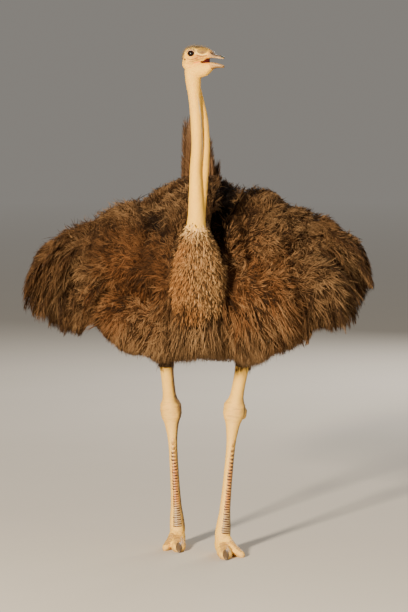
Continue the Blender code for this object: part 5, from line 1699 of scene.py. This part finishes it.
def leg_skin(hand):
    """One leg from thigh to toes."""
    knee, hock, ankle, toe_turn, outer_turn = LEGS[hand]
    shaft_rows = down_leg(hock, ankle, SHAFT)
    hock, ankle = np.array(hock), np.array(ankle)
    behind = np.array((0.0, 0.0155, 0.0))
    grids = (
        limb_grid(down_leg(knee, hock, SHANK), 70, 44),
        limb_grid(shaft_rows, 80, 44),
        limb_grid([*shaft_rows[-3:], (ankle[0], ankle[1], 0.04, 0.0255, 0.0295)], 20, 44),
        toe_grid(ankle, toe_turn, BIG_TOE, 60, 40),
        toe_grid(ankle, outer_turn, SMALL_TOE, 50, 36),
        limb_grid(down_leg(hock + behind, ankle + behind, CORD), 60, 20),
    )
    parts = [loft("length", grid) for grid in grids]
    parts += [ball("knob", hock + off, radii, 28, 20) for off, radii in KNOBS[hand]]
    made = one_skin("leg_skin_" + hand, parts, LEG_VOXEL, 4)
    points, normals = mesh_points(made), mesh_normals(made)
    share = (hock[2] - points[:, 2]) / (hock[2] - ankle[2])
    near_hock = soft_spot((points[:, 2] - hock[2]) / 0.045)
    low = share_between(-points[:, 2], -0.09, -0.05)
    lumps = value_noise(points * (1.0, 1.0, 1.6), 0.011, 31) - 0.5
    scales = value_noise(points, 0.0048, 32) - 0.5
    folds = value_noise(points * (0.5, 0.5, 3.4), 0.014, 33) - 0.5
    rise = 0.0026 * near_hock * folds + 0.0010 * lumps * (0.4 + near_hock) + 0.0007 * scales * (0.3 + low)
    for turn, stops in zip((toe_turn, outer_turn), PAD_CREASES):
        ahead, across = toe_axes(turn)
        away = points - (ankle[0], ankle[1], 0.0)
        way, aside = away @ ahead, np.abs(away @ across)
        for stop in stops:
            crease = soft_spot((way - stop + 0.10 * (points[:, 2] - 0.02)) / 0.0022)
            rise -= 0.0012 * crease * (aside < 0.034) * low * share_between(points[:, 2], 0.002, 0.010)
    # The shaft is a little hollow down both sides
    rise -= 0.0010 * np.abs(normals[:, 0]) ** 2 * within(share, 0.10, 0.22, 0.80, 0.92)
    points = points + normals * rise[:, None]
    points[:, 2] = np.where(points[:, 2] < 0.0022, 0.0, points[:, 2])
    put_points(made, points)
    mark = np.linalg.norm(points - SHANK_MARK, axis=1) + 0.004 * scales
    # Painted shade on the side of the leg away from the key lamp
    far_side = share_between(normals[:, 0], *SHADED_SIDE[hand]) * share_between(points[:, 2], 0.05, 0.09)
    band_low = BAND_LOW[hand]
    put_masks(
        made,
        front=share_between(-normals[:, 1], 0.55, 0.9) * share_between(share, -0.05, 0.10),
        low=share_between(-points[:, 2], -0.020, -0.006),
        spot=(1 - share_between(mark, 0.004, 0.0085)) * (hand == "right"),
        hock=near_hock,
        side=far_side * (1 - 0.45 * scales - 0.30 * lumps),
        # Painted shade in the creases round the hock
        fold=near_hock * share_between(-folds, 0.05, 0.32),
        # Painted shade under the coat's edge
        band=share_between(points[:, 2] + 0.008 * lumps, band_low, band_low + 0.0045),
    )
    return made


leg_finish = Finish(
    "cream_leg_hide", Roughness=0.62, Specular_IOR_Level=0.25, Subsurface_Weight=0.06, Subsurface_Scale=0.003
)
scaly = {"Vector": leg_finish.place(), "Scale": 210.0}
cells = leg_finish.node("ShaderNodeTexVoronoi", {"feature": "DISTANCE_TO_EDGE"}, scaly)
base = leg_finish.blend(leg_finish.noise(30.0) * 0.6, (0.96, 0.58, 0.100), (0.84, 0.455, 0.070))
base = leg_finish.layers(
    base,
    front=(0.15, (0.66, 0.48, 0.22)),
    hock=(0.25, (0.64, 0.38, 0.15)),
    low=(0.55, (0.40, 0.245, 0.11)),
)
base = leg_finish.blend(leg_finish.held(1 - cells * 9.0) * 0.30, base, (0.42, 0.22, 0.085))
base = leg_finish.layers(
    base,
    # Painted shade down the side of each leg that faces away from the key lamp
    side=(0.80, (0.085, 0.050, 0.032)),
    # Painted shade in the hock's creases
    fold=(0.45, (0.36, 0.19, 0.075)),
    spot=(1.0, (0.060, 0.022, 0.010)),
    # Painted shade: a near-black band under the coat's edge
    band=(0.96, (0.030, 0.015, 0.009)),
)
leg_finish.feed(Base_Color=base)
leg_finish.bump(leg_finish.held(cells * 6.0) + leg_finish.noise(700.0, 2.0) * 0.3, 0.0006, 0.8)
for hand in LEGS:
    nodes = [part + hand for part in ("shank_", "tarsus_", "toe_main_", "toe_outer_")]
    shown(leg_skin(hand), leg_finish, "leg_skin", *nodes)

# Scutes: one row of broad, overlapping reddish-brown plates of horn down the front of each shaft,
# and narrower ones over the tops of the toes.

SCUTE_COUNT = 31
SCUTE_HALF_TURN = math.radians(36.0)
TOE_HALF_TURN = math.radians(40)
# How far each row is turned off the front of its shaft
SCUTE_TURN = {"right": 0.06, "left": 0.46}
# How deep a plate's back is sunk, and how high its front stands on the shaft and on the toes
PLATE_DEPTH = 0.0042
SHAFT_RISE = 0.0018
TOE_RISE = 0.0015
# From and to which share of the shaft the plates run
SCUTES_FROM = 0.245
SCUTES_TO = 1.015


def plate(points, outward):
    """Points and faces of one closed, thin plate over a grid, with its back sunk in the skin."""
    tall, wide = points.shape[:2]
    back = points - outward * PLATE_DEPTH
    both = np.concatenate([points.reshape(-1, 3), back.reshape(-1, 3)])
    size = tall * wide
    faces = []
    for i in range(tall - 1):
        for j in range(wide - 1):
            a = i * wide + j
            faces.append((a, a + 1, a + wide + 1, a + wide))
            faces.append((size + a, size + a + wide, size + a + wide + 1, size + a + 1))
    edge = [*range(wide)] + [i * wide + wide - 1 for i in range(1, tall)]
    edge += [size - 1 - j for j in range(1, wide)] + [i * wide for i in range(tall - 2, 0, -1)]
    for a, b in zip(edge, [*edge[1:], edge[0]]):
        faces.append((b, a, size + a, size + b))
    return both, faces


def on_skin(tree, spots, outward):
    """The same places laid on the skin along the ways out, by casting back onto it."""
    laid = spots.copy().reshape(-1, 3)
    for k, (spot, way) in enumerate(zip(spots.reshape(-1, 3), outward.reshape(-1, 3))):
        start = Vector(spot + way * 0.03 + TO_FRAME)
        hit = tree.ray_cast(start, Vector(-way), 0.06)[0]
        if hit:
            laid[k] = np.array(hit) - TO_FRAME
    return laid.reshape(spots.shape)


def scute_row(tree, ring_at, starts, ends, half_turns, rise, draw):
    """Closed plates laid on the skin, each domed and thicker at its lower edge; with edge shares."""
    every, faces, rims = [], [], []
    across = np.linspace(-1, 1, 11)[None, :]
    along = np.linspace(0, 1, 9)[:, None]
    shifts = draw.normal(0, 1, (3, len(starts)))
    for start, end, half_turn, wider, aside, askew in zip(starts, ends, half_turns, *shifts):
        share = start + (end - start) * (along + 0.05 * askew * across)
        # Corners are rounded off by drawing the outline in towards both ends
        narrow = half_turn * (1 + 0.05 * wider) * (1 - 0.30 * np.abs(2 * along - 1) ** 4)
        spot, outward = ring_at(share, across * narrow + 0.015 * aside)
        spot = on_skin(tree, spot, outward)
        dome = (1 - across**2 * 0.7) * (0.35 + 0.65 * along)
        dome = dome * np.sin(np.pi * np.clip(along, 0.05, 0.95)) ** 0.35
        points, made = plate(spot + outward * (rise * dome)[..., None], outward)
        rim = share_between(across * math.copysign(1.0, wider), -0.2, 0.9)
        rim = share_between(along, 0.34, 0.60) * (1 - 0.5 * rim)
        rim = np.maximum(rim, 0.45 * share_between(np.abs(across), 0.75, 0.98) + 0 * along)
        first = sum(len(p) for p in every)
        every.append(points)
        rims.append(np.tile(rim.ravel(), 2))
        faces += [tuple(first + k for k in face) for face in made]
    return np.concatenate(every), faces, np.concatenate(rims)


def shaft_surface(leg, off_front):
    """A function from share of the way down a shaft and turn off its front to a place near it."""
    hock, ankle = np.array(leg[1]), np.array(leg[2])
    sizes = smooth_rows(SHAFT, 200)
    along = unit(ankle - hock)
    depth = unit(np.cross(along, (1.0, 0.0, 0.0)))
    depth = depth * -np.sign(depth[1])
    width = unit(np.cross(depth, along))
    width = width * np.sign(width[0])

    def ring_at(share, turn):
        wide = np.interp(share, sizes[:, 0], sizes[:, 1])[..., None]
        deep = np.interp(share, sizes[:, 0], sizes[:, 2])[..., None]
        middle = hock + (ankle - hock) * share[..., None]
        turn = (turn + off_front + 0 * share)[..., None]
        spot = middle + width * wide * np.sin(turn) + depth * deep * np.cos(turn)
        return spot, unit(width * np.sin(turn) / wide + depth * np.cos(turn) / deep)

    return ring_at


def toe_surface(leg, turn, sizes):
    """The same for the top of a toe, facing more forward near the ankle."""
    ahead, across = toe_axes(turn)
    foot = np.array((leg[2][0], leg[2][1], 0.0))
    rows = smooth_rows(sizes, 200)

    def ring_at(way, turn_off_top):
        wide = np.interp(way, rows[:, 0], rows[:, 1])[..., None]
        high = np.interp(way, rows[:, 0], rows[:, 2])[..., None]
        turned = (turn_off_top + 0 * way)[..., None]
        middle = foot + ahead * way[..., None] + UP * high / 2
        spot = middle + across * wide * np.sin(turned) + UP * high / 2 * np.cos(turned)
        outward = unit(across * np.sin(turned) / wide + UP * np.cos(turned) / (high / 2))
        steep = 0.9 * (1 - share_between(way, 0.040, 0.085))[..., None]
        return spot, unit(outward + ahead * steep)

    return ring_at


scute_finish = Finish("red_brown_scutes", Roughness=0.48)
base = scute_finish.blend(scute_finish.noise(70.0), (0.62, 0.31, 0.060), (0.82, 0.48, 0.100))
base = scute_finish.blend(scute_finish.mask("red") * scute_finish.noise(45.0), base, (0.50, 0.115, 0.020))
base = scute_finish.layers(base, grey=(0.8, (0.42, 0.30, 0.155)), edge=(1.0, (0.062, 0.022, 0.009)))
scute_finish.feed(Base_Color=base)
scute_finish.bump(scute_finish.noise(600.0), 0.0004, 0.6)
for name, leg in LEGS.items():
    tree = BVHTree.FromObject(bpy.data.objects["leg_skin_" + name], bpy.context.evaluated_depsgraph_get())
    # The plates grow shorter towards the foot
    cuts = SCUTES_FROM + (SCUTES_TO - SCUTES_FROM) * np.linspace(0, 1, SCUTE_COUNT + 1) ** 0.74
    shaft = shaft_surface(leg, SCUTE_TURN[name])
    half_turns = SCUTE_HALF_TURN * (0.45 + 0.55 * share_between(cuts[:-1], 0.20, 0.42))
    points, faces, rims = scute_row(tree, shaft, cuts[:-1], cuts[1:] + 0.002, half_turns, SHAFT_RISE, draw)
    share = (leg[1][2] - points[:, 2]) / (leg[1][2] - leg[2][2])
    rims = rims * (0.35 + 0.65 * share_between(share, 0.24, 0.40))
    red = within(share, 0.38, 0.52, 0.78, 0.88)
    grey = share_between(share, 0.78, 0.90)
    toes = (
        (leg[3], BIG_TOE, np.linspace(0.040, 0.130, 14)),
        (leg[4], SMALL_TOE, np.linspace(0.046, 0.108, 10)),
    )
    for turn, sizes, cuts in toes:
        half_turns = np.full(len(cuts) - 1, TOE_HALF_TURN)
        toe = toe_surface(leg, turn, sizes)
        spots, made, edges = scute_row(tree, toe, cuts[:-1], cuts[1:] + 0.0006, half_turns, TOE_RISE, draw)
        faces += [tuple(len(points) + k for k in face) for face in made]
        points = np.concatenate([points, spots])
        rims = np.concatenate([rims, edges * 0.45])
        red = np.concatenate([red, np.zeros(len(spots))])
        grey = np.concatenate([grey, np.full(len(spots), 0.2)])
    scutes = plain_mesh("scutes_" + name, points, faces)
    put_masks(scutes, edge=rims, red=red, grey=grey)
    shown(scutes, scute_finish, "leg_skin")

# Claws: a thick, blunt, dark nail of ridged horn, grown over the last bone of each big toe and
# worn flat underneath.

# Way ahead of the ankle, half width, height and dip of the nail
CLAW = (
    (0.108, 0.0080, 0.0320, -0.022),
    (0.119, 0.0115, 0.0335, -0.014),
    (0.131, 0.0122, 0.0292, -0.008),
    (0.142, 0.0108, 0.0225, -0.004),
    (0.151, 0.0078, 0.0155, -0.002),
    (0.1565, 0.0047, 0.0100, -0.0012),
    (0.1590, 0.0020, 0.0060, -0.0016),
)
claw_finish = Finish("dark_claw_horn", Roughness=0.45)
ridges = claw_finish.noise(1.0, 3.0, claw_finish.stretched((500.0, 60.0, 60.0)))
claw_finish.feed(Base_Color=claw_finish.blend(ridges, (0.060, 0.036, 0.018), (0.165, 0.105, 0.055)))
claw_finish.bump(ridges, 0.0005, 0.6)
for name, leg in LEGS.items():
    claw = loft("claw_nail_" + name, toe_grid(leg[2], leg[3], CLAW, 40, 32))
    shown(claw, claw_finish, "claw_horn", "claw_" + name)

# Cuffs: short plumes, darkened with painted shade, where the coat ends at the top of each bare shank. They
# root in the
# thigh's skin and hang straight down over the edge.

CUFF_PLUMES = 420


def cuff_weight(points, normals):
    """Where the cuff's plumes root on a leg."""
    return (points[:, 2] > 0.70) * (points[:, 2] < 0.86)


for name, leg in LEGS.items():
    roots, out = skin_samples(bpy.data.objects["leg_skin_" + name], CUFF_PLUMES, cuff_weight, draw)
    flow = unit(-UP + out * 0.25 + draw.normal(0, 0.12, (CUFF_PLUMES, 3)))
    masks = markings(roots)
    masks["tone"] = draw.random(CUFF_PLUMES) * 0.6
    # Painted shade: the cuffs hang in the shade under the coat
    masks["dusk"] = np.full(CUFF_PLUMES, 0.55)
    patch = wrapped(roots, 2, (leg[0][0], leg[0][1], 0.0), 0.5, 0.95)
    length = draw.uniform(0.024, 0.048, CUFF_PLUMES)
    width = draw.uniform(0.003, 0.006, CUFF_PLUMES)
    cuff = strands("cuff_" + name, roots - out * 0.003, flow, out, length, width, -out * 0.15, masks, patch)
    shown(cuff, plumage, "brown_plumes")

# A plain pale floor that fades into the background, and soft studio light, warm and low from the
# front left as in the photograph, with a weak fill from the right and a light from behind.

floor_mesh = bpy.data.meshes.new("floor")
floor_mesh.from_pydata([(-30, -30, 0), (30, -30, 0), (30, 30, 0), (-30, 30, 0)], [], [(0, 1, 2, 3)])
floor = placed("floor", floor_mesh)
floor_finish = Finish("pale_floor", Roughness=0.9, Specular_IOR_Level=0.0, Emission_Strength=1.0)
way_off = floor_finish.node("ShaderNodeVectorMath", {"operation": "LENGTH"}, {0: floor_finish.place()}, 1)
fade = floor_finish.held((way_off - 4.0) * (1 / 22.0))
pale = floor_finish.blend(floor_finish.noise(1.5), (0.60, 0.56, 0.50), (0.63, 0.59, 0.53))
glow = floor_finish.blend(fade, (0.0, 0.0, 0.0), (0.240, 0.225, 0.204))
floor_finish.feed(Base_Color=floor_finish.blend(fade, pale, (0.0, 0.0, 0.0)), Emission_Color=glow)
floor_mesh.materials.append(floor_finish.material)

world = bpy.data.worlds.new("studio")
world.use_nodes = True
background = world.node_tree.nodes["Background"]
background.inputs["Color"].default_value = (0.80, 0.75, 0.68, 1.0)
background.inputs["Strength"].default_value = 0.30
bpy.context.scene.world = world


def aimed(name, data, place, target):
    """Adds a lamp or camera that looks at a point."""
    made = placed(name, data)
    made.location = place
    made.rotation_euler = (Vector(target) - Vector(place)).to_track_quat("-Z", "Y").to_euler()
    return made


# Name, place, height of its aim, size, power and colour of each lamp
for name, place, aim, size, power, colour in (
    ("key", (-3.3, -8.0, 3.0), 1.0, 0.7, 2200.0, (1.0, 0.86, 0.66)),
    ("fill", (5.5, -4.0, 2.2), 1.0, 4.0, 90.0, (1.0, 0.94, 0.86)),
    ("back", (2.5, 7.0, 4.0), 1.1, 3.5, 420.0, (1.0, 0.95, 0.88)),
):
    lamp = bpy.data.lights.new(name, "AREA")
    lamp.size, lamp.energy, lamp.color = size, power, colour
    aimed(name, lamp, place, (0.0, 0.0, aim))

# A long lens in front of the bird, 12 m off and a little above its head
STANDPOINT = TO_FRAME + (0.022, -12.0, 1.9)
TARGET = TO_FRAME + (0.022, 0.0, 0.918)
lens = bpy.data.cameras.new("camera")
lens.lens, lens.sensor_width = 191.4, 36.0
bpy.context.scene.camera = aimed("camera", lens, STANDPOINT, TARGET)
